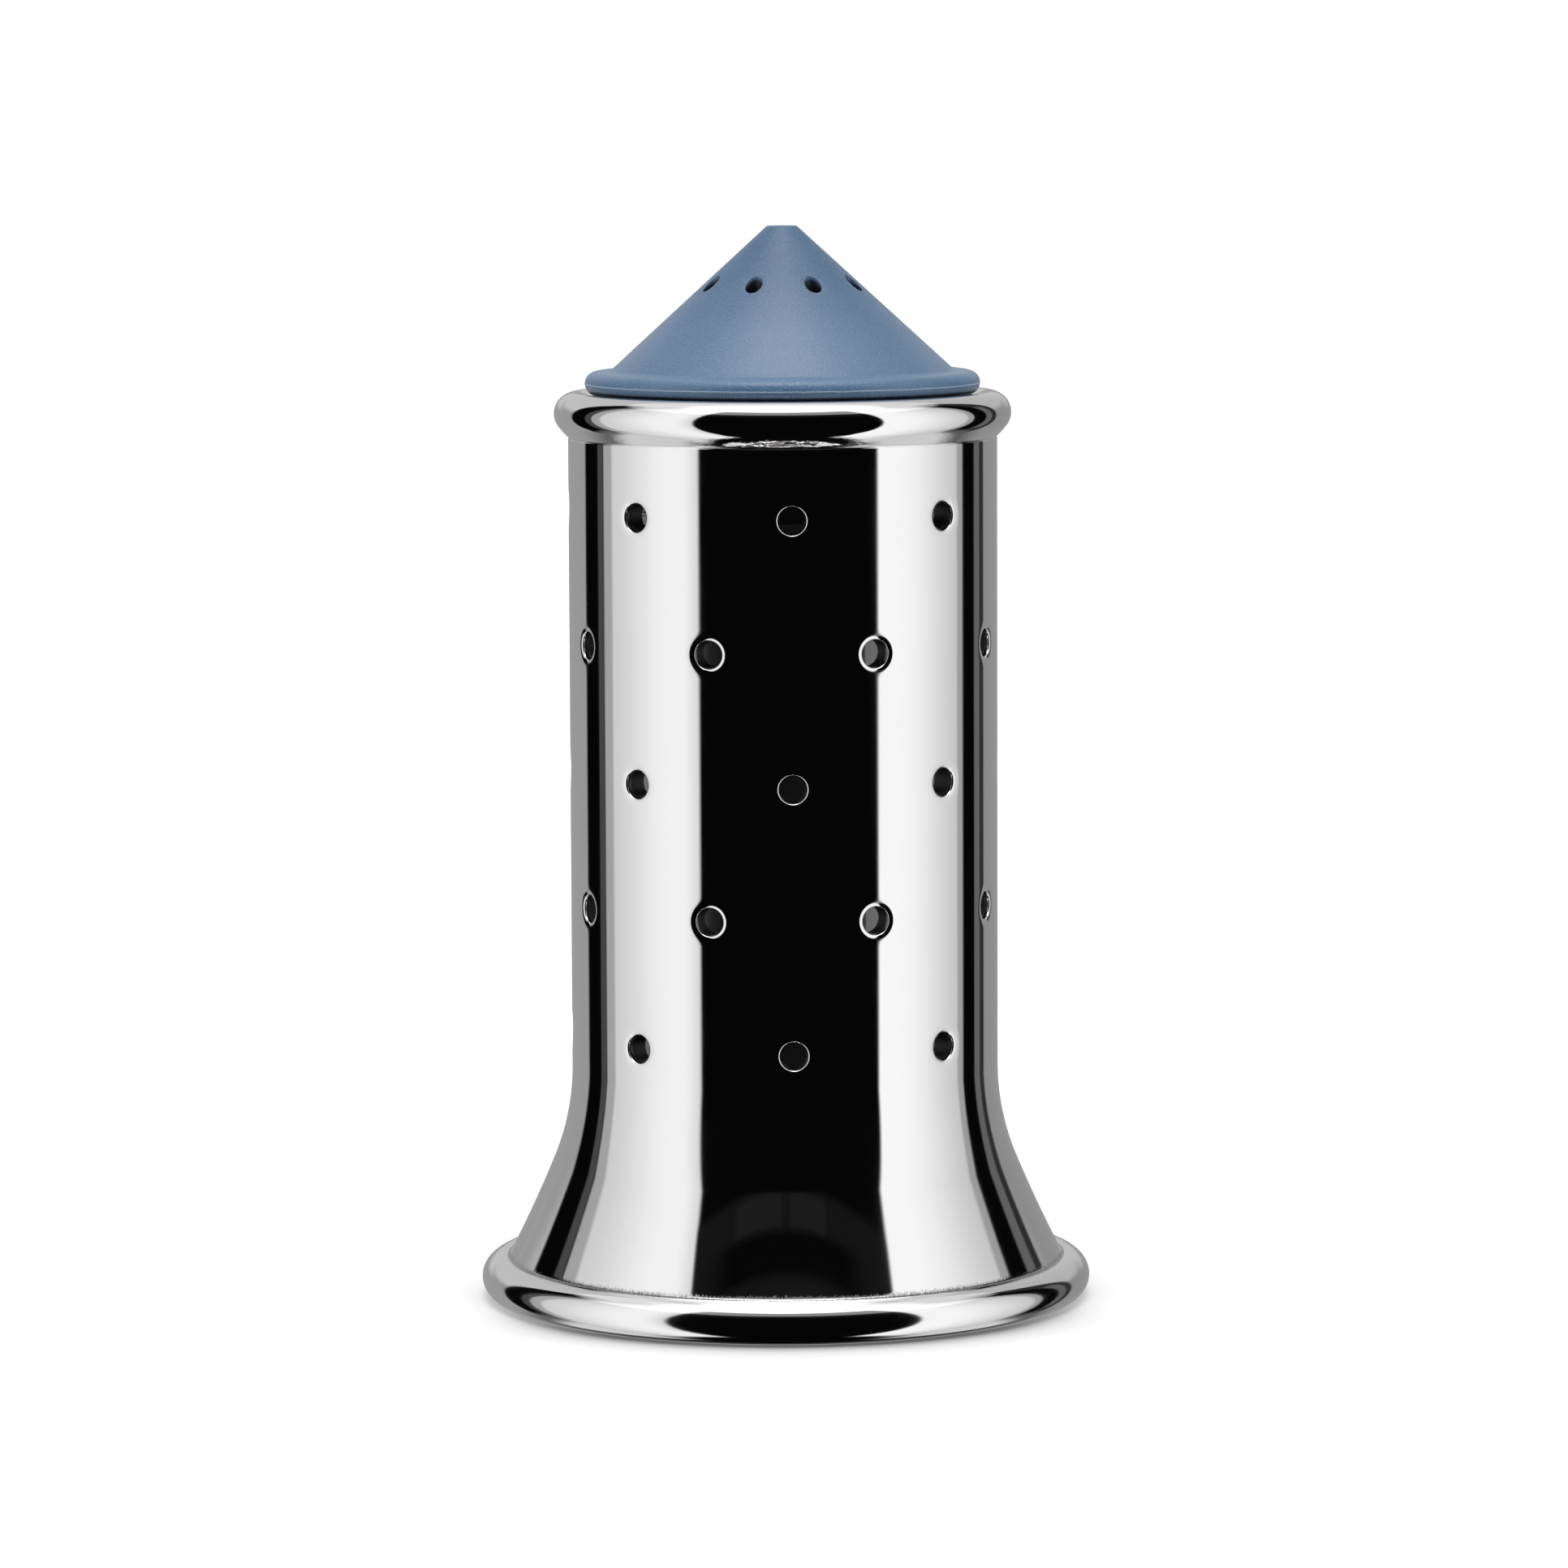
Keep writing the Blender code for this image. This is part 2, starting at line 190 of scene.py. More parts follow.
# %% Side and front panels
WINDOW, STRIP, LOW = (-84, 64), (-34, 50), (-66, -42)
FRONT = (-45.8, 51.5)
shade = panel(shade, (-132.5, -111), STRIP, BLACK)
shade = panel(shade, (-117.8, -113), STRIP, 0.075, soft=0.6)
shade = panel(shade, (-112, -103), WINDOW, 0.45, soft=0.8)
shade = panel(shade, (-104.5, FRONT[0]), WINDOW, 0.77, 1.125, fade=(-106, -62))
shade = panel(shade, (-50, -40), WINDOW, 0.84, soft=6)
shade = panel(shade, (112, 136.5), STRIP, 0.03)
shade = panel(shade, (112, 124.5), STRIP, BLACK)
shade = panel(shade, (124.5, 131), (-26, 24), 0.145, soft=0.8)
shade = panel(shade, (106, 112), WINDOW, 0.42)
shade = panel(shade, (FRONT[1], 107), WINDOW, 1.18, 0.66, fade=(62, 116))
shade = panel(shade, FRONT, (-95, 62), BLACK, soft_height=2.0)
shade = panel(shade, (-150, -106), LOW, 0.75, soft=4)
shade = panel(shade, (106, 150), LOW, 0.75, soft=4)
shade = mix(sky, ease(sky, elevation, -73, -67, 1, 0), shade, BLACK)
print("with the panels:", len(sky.nodes), "sky nodes")

# %% [markdown]
# High in the dark front the room behind the camera can just be made out: two panes with a bar between them
# over a softer shape. In the picture they make the faint grey patch low on the flare.

# %% Panes in the dark front
PANE = (35.6, 38.4)
shade = panel(shade, FRONT, (35.2, 62), 0.009, soft_height=0.5)
shade = panel(shade, (-26, -2.2), PANE, 0.015, soft=0.8, soft_height=0.3)
shade = panel(shade, (2.4, 21), PANE, 0.015, soft=0.8, soft_height=0.3)
shade = panel(shade, (-34, 36), (38.6, 42.2), BLACK, soft=9, soft_height=0.6)
print("with the panes:", len(sky.nodes), "sky nodes")

# %% [markdown]
# The overhead lamp closes the room. It has three parts, each higher and brighter than the one before: the
# light that spills round it, its diffuser and the lamp. The two upper parts end just behind the zenith, so
# they light the front of the cone more than its back. Only the camera sees plain white behind the object:
# the Light Path node tells its rays apart.

# %% Overhead lamp and backdrop
SPILL, DIFFUSER, LAMP = 0.3, 1.5, 4.5
LAMP_END = (-0.04, 0.16)
DIFFUSER_REST = 0.25
BACKDROP = 1.04
spill = ease(sky, elevation, 44, 48, 0, SPILL)
diffuser = product(sky, ease(sky, elevation, 60, 68, 0, DIFFUSER),
                   ease(sky, north, *LAMP_END, 1, DIFFUSER_REST))
lamp = product(sky, ease(sky, elevation, 68, 78, 0, LAMP), ease(sky, north, *LAMP_END, 1, 0))
overhead = maths(sky, "ADD", spill, maths(sky, "ADD", diffuser, lamp))
shade = maths(sky, "ADD", shade, overhead)
seen = add(sky, "ShaderNodeLightPath").outputs["Is Camera Ray"]
backdrop = add(sky, "ShaderNodeBackground", mix(sky, seen, shade, BACKDROP))
add(sky, "ShaderNodeOutputWorld", backdrop.outputs[0])
print("sky nodes with the lamp:", len(sky.nodes))

# %% [markdown]
# ## The floor
# A pale sheet takes the contact shadow. For the camera it glows a little as well, so that it runs into the
# white backdrop. Bright steel throws light back under its own foot, so the shadow there would be thin. The
# Ambient Occlusion node gives it weight: it darkens the sheet near things, in front more than at the sides,
# as the picture has it. The steel does not mirror the sheet, because the picture's table lies in the dark.

# %% Floor
FLOOR_SIZE = 4000
FLOOR_DROP = 0.02
FLOOR_PALE = 0.79
FLOOR_GLOW = 0.40
CONTACT_REACH, CONTACT_CURVE = 12.0, 2.6
CONTACT_FRONT, CONTACT_SIDE = 0.74, 0.15
FRONT_DEPTH, SIDE_DEPTH = -24, -6

floor_mesh = bpy.data.meshes.new("floor")
half = FLOOR_SIZE / 2 * MM
corners = [(x, y, -FLOOR_DROP * MM) for x, y in ((-half, -half), (half, -half), (half, half), (-half, half))]
floor_mesh.from_pydata(corners, [], [(0, 1, 2, 3)])
floor = bpy.data.objects.new("floor", floor_mesh)
bpy.context.scene.collection.objects.link(floor)
floor.visible_glossy = False

floor_paint = bpy.data.materials.new("floor_paint")
floor_paint.use_nodes = True
tree = floor_paint.node_tree
tree.nodes.clear()
near = add(tree, "ShaderNodeAmbientOcclusion", None, CONTACT_REACH * MM, samples=16).outputs["AO"]
position = add(tree, "ShaderNodeNewGeometry").outputs["Position"]
depth = add(tree, "ShaderNodeSeparateXYZ", position).outputs[1]
toward_front = ease(tree, depth, FRONT_DEPTH * MM, SIDE_DEPTH * MM, CONTACT_FRONT, CONTACT_SIDE)
contact = product(tree, maths(tree, "SUBTRACT", 1.0, maths(tree, "POWER", near, CONTACT_CURVE)), toward_front)
pale = blend_colour(tree, contact, (FLOOR_PALE, FLOOR_PALE, FLOOR_PALE, 1), (0, 0, 0, 1))
matt = add(tree, "ShaderNodeBsdfDiffuse", pale)
seen = add(tree, "ShaderNodeLightPath").outputs["Is Camera Ray"]
glow = add(tree, "ShaderNodeEmission", pale, product(tree, seen, FLOOR_GLOW))
both = add(tree, "ShaderNodeAddShader", matt.outputs[0], glow.outputs[0])
add(tree, "ShaderNodeOutputMaterial", both.outputs[0])
floor_mesh.materials.append(floor_paint)
print("floor", FLOOR_SIZE / 1000, "m square")

# %% [markdown]
# ## Turned profiles
# Each piece starts as an outline in the plane of radius and height. It runs down the outside and up the
# inside, so the normal is always on the left of the way it goes. Each sample keeps that normal: a mirror
# shows the smallest flaw in its normals, and those of an arc are known exactly.

# %% Outline helpers
def arc(centre, radius, start, end, steps):
    """Samples (radius, height, normal) along an arc; angles in degrees, 0 outward and 90 up."""
    side = 1 if start > end else -1
    angles = np.radians(np.linspace(start, end, steps + 1))
    rays = np.stack([np.cos(angles), np.sin(angles)], axis=1)
    return np.hstack([np.array(centre) + radius * rays, side * rays])


def line(start, end, steps=1):
    """Samples along a straight stretch."""
    start, end = np.array(start), np.array(end)
    way = (end - start) / np.linalg.norm(end - start)
    shares = np.linspace(0, 1, steps + 1)[:, None]
    return np.hstack([start + shares * (end - start), np.tile((-way[1], way[0]), (steps + 1, 1))])


def outline(*stretches):
    """Join stretches end to end, dropping a point that repeats the one before."""
    samples = [stretches[0][0]]
    for sample in np.vstack(stretches)[1:]:
        if np.hypot(*(sample[:2] - samples[-1][:2])) > 1e-5:
            samples.append(sample)
    return np.array(samples)


# %% [markdown]
# A skin collects points, normals and faces. Turning an outline gives a grid of rings, and a rectangle of
# that grid can be left open. A pierced cell then fills it with rings that change from the cell's border to
# a circle. Cutting the holes with a Boolean would be shorter, but it leaves long thin faces round each hole,
# and in a mirror they show as dents.

# %% Skin
class Skin:
    """Points with their normals, in millimetres, and faces between rings of points."""

    def __init__(self, steps):
        self.steps = steps
        self.points, self.normals, self.faces = [], [], []
        self.open_cells = set()

    def ring(self, points, normals):
        """Add points in a loop and give their numbers."""
        first = len(self.points)
        self.points.extend(points)
        self.normals.extend(normals)
        return list(range(first, len(self.points)))

    def bridge(self, one, other):
        """Fill between two loops of equal length."""
        for k in range(len(one)):
            following = (k + 1) % len(one)
            self.faces.append((one[k], one[following], other[following], other[k]))

    def fan(self, ring, point, normal):
        """Close a loop on the axis."""
        centre = self.ring([point], [normal])[0]
        for k, number in enumerate(ring):
            self.faces.append((number, ring[(k + 1) % len(ring)], centre))

    def close(self, top, foot):
        """Close the first and the last ring of the grid on the axis, at their heights."""
        last = (self.levels - 1) * self.steps
        self.fan(list(range(self.steps)), UP * top, UP)
        self.fan(list(range(last, last + self.steps)), UP * foot, -UP)

    def border(self, level, column, rows, columns, upward=False):
        """Open a cell of the grid. Give its border from the top left, to the right, down and back."""
        heights = range(rows, -1, -1) if upward else range(rows + 1)
        for r in range(rows):
            self.open_cells |= {(level + r, (column + c) % self.steps) for c in range(columns)}
        top, *middle, foot = heights
        walk = [(top, c) for c in range(columns + 1)] + [(r, columns) for r in middle]
        walk += [(foot, c) for c in range(columns, -1, -1)] + [(r, 0) for r in reversed(middle)]
        return [(level + r) * self.steps + (column + c) % self.steps for r, c in walk]


def around(turns):
    """Outward and sideways directions at angles from the front, in radians towards +X."""
    flat = np.zeros_like(turns)
    return (np.stack([np.sin(turns), -np.cos(turns), flat], axis=-1),
            np.stack([np.cos(turns), np.sin(turns), flat], axis=-1))


UP = np.array((0.0, 0.0, 1.0))

# %% Turning and storing a skin
SHARP_ANGLE = 30


def turn_grid(skin, samples, closed, swell=None):
    """Turn an outline into the grid. A swell gives what to add to a ring's radius at each share of a turn."""
    shares = np.arange(skin.steps) / skin.steps
    outward, _ = around(shares * math.tau)
    for radius, height, tilt_out, tilt_up in samples:
        extra = 0 if swell is None else swell(radius, height, shares)[:, None]
        skin.ring(outward * (radius + extra) + UP * height, outward * tilt_out + UP * tilt_up)
    skin.levels = len(samples)
    skin.closed = closed


def fill_grid(skin):
    """Make the grid's faces, but for its open cells."""
    for level in range(skin.levels if skin.closed else skin.levels - 1):
        below = (level + 1) % skin.levels * skin.steps
        for column in range(skin.steps):
            beside = (column + 1) % skin.steps
            if (level, column) not in skin.open_cells:
                here = level * skin.steps
                skin.faces.append((here + column, here + beside, below + beside, below + column))


def store(name, skin, exact):
    """Make the object: exact keeps the computed normals, otherwise corners over the angle stay sharp."""
    used = sorted({number for face in skin.faces for number in face})
    renumbered = {old: new for new, old in enumerate(used)}
    mesh = bpy.data.meshes.new(name)
    mesh.from_pydata([tuple(np.array(skin.points[k]) * MM) for k in used], [],
                     [[renumbered[number] for number in face] for face in skin.faces])
    bm = bmesh.new()
    bm.from_mesh(mesh)
    bmesh.ops.recalc_face_normals(bm, faces=bm.faces)
    bm.to_mesh(mesh)
    bm.free()
    mesh.shade_smooth()
    if exact:
        mesh.normals_split_custom_set_from_vertices([tuple(skin.normals[k]) for k in used])
    else:
        mesh.set_sharp_from_angle(angle=math.radians(SHARP_ANGLE))
    piece = bpy.data.objects.new(name, mesh)
    bpy.context.scene.collection.objects.link(piece)
    print(name, len(mesh.vertices), "points,", len(mesh.polygons), "faces")
    return piece


# %% [markdown]
# ## Steel sleeve: the outline
# The sleeve is one spun sheet. Its top is rolled inwards to a bead with a nearly flat flank below, and its
# foot flares out to a second bead. Where the flank meets the tube the roller left a fine crease, and above
# the foot bead there is a tight groove. A Bevel modifier would round them all alike. Here each is an arc of
# its own, because the reflections show its radius. The inside follows at one sheet's thickness.

# %% Sleeve sizes
FOOT_RADIUS, _, RIM_TOP = extent("steel_sleeve")
SHEET = 0.8
TUBE = 20.25
BEAD = 2.0
RIM_INSET, FOOT_FLAT = 0.67, 0.06
RIM = (TUBE - RIM_INSET, RIM_TOP - BEAD)
RIM_FLANK = 38
FLANK = 8.6
RIM_END = 190
FLARE_TOP, FLARE, FLARE_ANGLE = 22.2, 23.5, 22.5
CONE = 123.0
FOOT = (FOOT_RADIUS - BEAD, BEAD - FOOT_FLAT)
FOOT_END = -150
HOLLOW_END = 143.5
GROOVE = 0.3
CREASE = 0.10
CREASE_TILT = 34


def polar(centre, radius, angle):
    """The point at an angle in degrees on a circle of the outline's plane."""
    return (centre[0] + radius * math.cos(math.radians(angle)),
            centre[1] + radius * math.sin(math.radians(angle)))


def flank_foot(bead, wall):
    """Follow the flank down from its bead to a wall."""
    start = polar(RIM, bead, -RIM_FLANK)
    return (wall, start[1] - (start[0] - wall) / math.tan(math.radians(RIM_FLANK)))


flare_centre = (TUBE + FLARE, FLARE_TOP)
flare_end = polar(flare_centre, FLARE, 180 + FLARE_ANGLE)
for label, point in (("rim bead at", RIM), ("foot bead at", FOOT), ("flare ends at", flare_end)):
    print(label, [round(float(value), 2) for value in point])

# %% [markdown]
# Below the flare the cone is very slightly hollow, an arc of large radius. The groove is a small arc that
# touches this cone and the foot bead: its centre is known from its distances to the centres of both.

# %% Groove and crease
cone_centre = polar(flare_centre, CONE - FLARE, FLARE_ANGLE)
to_cone = np.array(cone_centre) - np.array(FOOT)
apart = np.linalg.norm(to_cone)
share = (apart ** 2 + (BEAD + GROOVE) ** 2 - (CONE - GROOVE) ** 2) / (2 * apart)
aside = math.sqrt((BEAD + GROOVE) ** 2 - share ** 2)
along = to_cone / apart
groove_centre = np.array(FOOT) + share * along + aside * np.array((-along[1], along[0]))
bead_start = math.degrees(math.atan2(*(groove_centre - np.array(FOOT))[::-1]))
cone_angle = math.degrees(math.atan2(*(np.array(cone_centre) - groove_centre)[::-1]))
groove_top = polar(cone_centre, CONE, 180 + cone_angle)[1]


def flank_and_crease():
    """From the bead down a nearly flat arc, through a fine dip and over its lower shoulder to the tube."""
    tilt = math.radians(CREASE_TILT)
    centre = polar(RIM, BEAD - FLANK, -RIM_FLANK)
    dip_radius = TUBE - CREASE * (1 - 2 * math.cos(tilt))
    across = dip_radius - centre[0]
    end = math.degrees(math.acos(across / (FLANK + CREASE)))
    dip = (dip_radius, centre[1] - math.sqrt((FLANK + CREASE) ** 2 - across ** 2))
    shoulder = (TUBE - CREASE, dip[1] - 2 * CREASE * math.sin(tilt))
    return (arc(centre, FLANK, -RIM_FLANK, -end, 10), arc(dip, CREASE, 180 - end, 180 + CREASE_TILT, 8),
            arc(shoulder, CREASE, CREASE_TILT, 0, 5))


print("groove from height", round(groove_top, 2), "mm, its bead from", round(bead_start, 1), "degrees")

# %% [markdown]
# Five rows of eight holes sit on the tube, each second row half a step on. The tube's heights are laid out
# for them: a fine band for each row, where a checkerboard of cells is pierced, and a few plain rings between.

# %% Rows of holes
ROWS, HOLES_IN_ROW = 5, 8
TOP_ROW, BOTTOM_ROW = 75.2, 25.65
CELL_HEIGHT = 6.6
CELL_ROWS, CELL_COLUMNS, PLAIN_RINGS = 10, 12, 4
SLEEVE_STEPS = 2 * HOLES_IN_ROW * CELL_COLUMNS
row_heights = np.linspace(BOTTOM_ROW, TOP_ROW, ROWS)


def tube_heights(foot, top):
    """Heights up the tube, from plain stretch to cell to plain stretch."""
    edges = [foot]
    for height in row_heights:
        edges += [height - CELL_HEIGHT / 2, height + CELL_HEIGHT / 2]
    heights = [foot]
    for k, (low, high) in enumerate(zip(edges, edges[1:] + [top])):
        heights += list(np.linspace(low, high, (CELL_ROWS if k % 2 else PLAIN_RINGS) + 1)[1:])
    return np.array(heights)


def wall(radius, heights):
    """Samples up the inside of a straight wall, or down its outside."""
    facing = 1 if heights[0] > heights[-1] else -1
    return np.array([(radius, height, facing, 0) for height in heights])


print("rows at", row_heights.round(2), "steps round", SLEEVE_STEPS)

# %% Sleeve outline
def sheet_edge(centre, angle, outward):
    """The rounded cut edge where a roll ends, from its outer to its inner face or back."""
    middle = polar(centre, BEAD - SHEET / 2, angle)
    start, end = (angle, angle - 180) if outward else (angle - 180, angle - 360)
    return arc(middle, SHEET / 2, start, end, 6)


def sleeve_outline():
    """Down the outside from the rim's rolled edge, under the foot, and up the inside."""
    flank, dip, shoulder = flank_and_crease()
    table = math.degrees(math.asin(FOOT[1] / BEAD))
    hollow = BEAD - SHEET
    bore = TUBE - SHEET
    tube_top = shoulder[-1][1]
    down = wall(TUBE, tube_heights(FLARE_TOP, tube_top)[::-1])
    outside = outline(
        arc(RIM, BEAD, RIM_END, -RIM_FLANK, 44), flank, dip, shoulder, down,
        arc(flare_centre, FLARE, 180, 180 + FLARE_ANGLE, 20),
        arc(cone_centre, CONE, 180 + FLARE_ANGLE, 180 + cone_angle, 10),
        arc(groove_centre, GROOVE, 180 + cone_angle, 180 + bead_start, 10),
        arc(FOOT, BEAD, bead_start, -table, 30), arc(FOOT, BEAD, table - 180, FOOT_END, 4),
        sheet_edge(FOOT, FOOT_END, True))
    inside = outline(
        arc(FOOT, hollow, FOOT_END, HOLLOW_END, 24),
        arc(flare_centre, FLARE + SHEET, 180 + FLARE_ANGLE, 180, 10),
        wall(bore, tube_heights(FLARE_TOP, flank_foot(hollow, bore)[1])),
        arc(RIM, hollow, -RIM_FLANK, RIM_END, 20), sheet_edge(RIM, RIM_END, False))
    return outside, inside


outside, inside = sleeve_outline()
sleeve_skin = Skin(SLEEVE_STEPS)
turn_grid(sleeve_skin, np.vstack([outside, inside[:-1]]), closed=True)
print("sleeve rings:", sleeve_skin.levels)

# %% [markdown]
# ## Steel sleeve: the holes
# A hole is drawn inwards, as a countersink is pressed: the face sinks slowly, then ever more steeply, into a
# short straight collar. The lip's slope is a power of a ratio, nothing at its outer edge and endless at the
# bore, and its depth is the sum of that slope. These soft lips give each hole its white crescent and dark
# bulge. A bevel round a plain hole would give it a thin bright ring instead.

# %% Pierced cells
def ring_angles(rows, columns):
    """The angles of a cell's border points, from the top left, to the right, down and back."""
    count = 2 * (rows + columns)
    return math.pi / 2 + math.pi * columns / count - np.arange(count) * math.tau / count


def level_at(samples, radius, height):
    """The number of the sample at a place on an outline."""
    return int(np.argmin(np.hypot(samples[:, 0] - radius, samples[:, 1] - height)))


def on_tube(turn, height, radius, turns, rises, facing):
    """Points and normals of a straight tube, at turns and rises from a hole's centre."""
    outward, _ = around(turn + turns)
    return outward * radius + UP * (height + rises)[:, None], outward * facing


SPREAD_SHARES, COLLAR_SHARES = (0.28, 0.52, 0.72, 0.88), (0.35, 0.7)
HOLE, LIP_REACH, LIP_SHARPNESS, LIP_POWER = 1.29, 1.1, 0.052, 1.16
LIP_RINGS, LIP_END, LIP_DIVISIONS = 16, 0.012, 20
COLLAR_DEPTH, COLLAR_WALL, COLLAR_FILLET = 2.5, 0.4, 0.3

fine_steps = np.geomspace(LIP_REACH, LIP_END, LIP_RINGS * LIP_DIVISIONS + 1)
fine_slopes = LIP_SHARPNESS * ((LIP_REACH - fine_steps) / fine_steps) ** LIP_POWER
falls = -np.diff(fine_steps) * (fine_slopes[1:] + fine_slopes[:-1]) / 2
lip_steps, lip_slopes = fine_steps[::LIP_DIVISIONS], fine_slopes[::LIP_DIVISIONS]
lip_depths = np.concatenate([[0], np.cumsum(falls)])[::LIP_DIVISIONS]
print("lip from radius", HOLE + LIP_REACH, "to", HOLE + LIP_END, "mm, depth", lip_depths[-1].round(2), "mm")

# %% One drawn hole
def spread(skin, border, turn, height, radius, circle, facing):
    """Rings between a cell's border and a circle about its hole, all on the tube's face."""
    angles = ring_angles(CELL_ROWS, CELL_COLUMNS)
    edge = np.array([skin.points[number] for number in border])
    edge_turns = (np.arctan2(edge[:, 0], -edge[:, 1]) - turn + math.pi) % math.tau - math.pi
    edge_rises = edge[:, 2] - height
    circle_turns = np.arcsin(circle * np.cos(angles) / radius)
    circle_rises = circle * np.sin(angles)
    rings = [border]
    for share in SPREAD_SHARES:
        turns = edge_turns + share * (circle_turns - edge_turns)
        rises = edge_rises + share * (circle_rises - edge_rises)
        rings.append(skin.ring(*on_tube(turn, height, radius, turns, rises, facing)))
    return rings


def drawn_hole(skin, turn, height, outer_border, inner_border):
    """Rings over the lip, down the bore, round the collar's edge and back to the inner face."""
    angles = ring_angles(CELL_ROWS, CELL_COLUMNS)
    outward, sideways = around(np.full(len(angles), turn))
    spokes = sideways * np.cos(angles)[:, None] + UP * np.sin(angles)[:, None]
    bore = TUBE - SHEET

    def place(ring_radius, out):
        return spokes * ring_radius + outward * np.reshape(out, (-1, 1)) + UP * height

    def face(ring_radius, tube):
        across = ring_radius * np.cos(angles)
        out = np.sqrt(tube ** 2 - across ** 2)
        return out, (sideways * across[:, None] + outward * out[:, None]) / tube

    rings = spread(skin, outer_border, turn, height, TUBE, HOLE + LIP_REACH, 1)
    for step, slope, depth in zip(lip_steps, lip_slopes, lip_depths):
        out, straight = face(HOLE + step, TUBE)
        tilt = math.atan(slope)
        leaning = straight * math.cos(tilt) - spokes * math.sin(tilt)
        rings.append(skin.ring(place(HOLE + step, out - depth), leaning))
    lip_foot, collar_end = out - depth, TUBE - COLLAR_DEPTH + COLLAR_WALL / 2
    for share in COLLAR_SHARES:
        rings.append(skin.ring(place(HOLE, lip_foot + share * (collar_end - lip_foot)), -spokes))
    for turned in np.radians((0, 45, 90, 135, 180)):
        way = -spokes * math.cos(turned) - outward * math.sin(turned)
        rings.append(skin.ring(place(HOLE + COLLAR_WALL / 2, np.full(len(angles), collar_end))
                               + way * COLLAR_WALL / 2, way))
    root = HOLE + COLLAR_WALL
    rings.append(skin.ring(place(root, face(root, bore)[0] - COLLAR_FILLET), spokes))
    out, straight = face(root + COLLAR_FILLET, bore)
    rings.append(skin.ring(place(root + COLLAR_FILLET, out), -straight))
    rings += spread(skin, inner_border, turn, height, bore, root + COLLAR_FILLET, -1)[::-1]
    for one, other in zip(rings, rings[1:]):
        skin.bridge(one, other)


# %% All holes of the sleeve
for row, height in enumerate(row_heights):
    outer_level = level_at(outside, TUBE, height + CELL_HEIGHT / 2)
    inner_level = len(outside) + level_at(inside, TUBE - SHEET, height - CELL_HEIGHT / 2)
    for hole in range(HOLES_IN_ROW):
        middle = CELL_COLUMNS * (2 * hole + row % 2)
        first = middle - CELL_COLUMNS // 2
        drawn_hole(sleeve_skin, math.tau * middle / SLEEVE_STEPS, height,
                   sleeve_skin.border(outer_level, first, CELL_ROWS, CELL_COLUMNS),
                   sleeve_skin.border(inner_level, first, CELL_ROWS, CELL_COLUMNS, upward=True))
fill_grid(sleeve_skin)
sleeve = store("pierced_sleeve", sleeve_skin, exact=True)
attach(sleeve, "body")
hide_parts("steel_sleeve")

# %% [markdown]
# ## Polished steel
# A mirror polish is a metal with very little roughness. What keeps it from looking like a computed mirror is
# small: a faint haze, hair-fine lines from the polishing wheel, a dull band in the groove above the foot,
# which the wheel could not reach, a foot bead that is rubbed by the table, and collars that nobody polished.
# The dull band and the collars also get a dark base colour. That is painted shade, for the dark of the groove
# and of the holes.
# Painted textures could show all this. Noise and masks are used instead, because they stay sharp from near
# by. Object coordinates in millimetres keep them on the steel when it moves.

# %% Material helpers
def new_material(name):
    """Give an empty material's tree with its Principled shader, ready to link."""
    material = bpy.data.materials.new(name)
    material.use_nodes = True
    return material, material.node_tree, material.node_tree.nodes["Principled BSDF"]


def feed(shader, socket, link):
    """Link a value into one of the shader's sockets."""
    shader.id_data.links.new(link, shader.inputs[socket])


def vector_maths(tree, operation, *values, output="Vector"):
    """Add a Vector Math node and give its result."""
    return add(tree, "ShaderNodeVectorMath", *values, operation=operation).outputs[output]


def scaled(tree, vector, *factors):
    """Stretch a vector along each axis."""
    return vector_maths(tree, "MULTIPLY", vector, factors)


def millimetres(tree):
    """Object coordinates in millimetres."""
    return scaled(tree, add(tree, "ShaderNodeTexCoord").outputs["Object"], 1 / MM, 1 / MM, 1 / MM)


def about_axis(tree):
    """A place in millimetres, the same without its height, its distance from the axis, and its height."""
    at = millimetres(tree)
    level = scaled(tree, at, 1, 1, 0)
    distance = vector_maths(tree, "LENGTH", level, output="Value")
    return at, level, distance, add(tree, "ShaderNodeSeparateXYZ", at).outputs[2]


def noise(tree, vector, detail=2.0):
    """Noise with cells of about one unit, from 0 to 1."""
    node = add(tree, "ShaderNodeTexNoise", noise_dimensions="3D")
    tree.links.new(vector, node.inputs["Vector"])
    node.inputs["Scale"].default_value = 1.0
    node.inputs["Detail"].default_value = detail
    node.inputs["Roughness"].default_value = 0.5
    return node.outputs["Fac"]


def bump(tree, height, distance):
    """Turn a height, in shares of distance in millimetres, into a normal."""
    node = add(tree, "ShaderNodeBump")
    node.inputs["Strength"].default_value = 1.0
    node.inputs["Distance"].default_value = distance * MM
    tree.links.new(height, node.inputs["Height"])
    return node.outputs["Normal"]


# %% [markdown]
# First come the places. The inner wall is where the face looks towards the axis, and a collar is where it
# looks sideways. The dull band lies on the cone's side of the groove. Its upper edge is ragged: noise that is
# stretched upright gives short hairs, and they are added to the height before it is compared.

# %% Places on the steel
FRINGE, FRINGE_WIDTH, FRINGE_TILT, FRINGE_DROP = 0.8, 0.45, 0.15, 0.2
RIPPLE_FOOT, RIPPLE_TOP = 81.7, 83.2

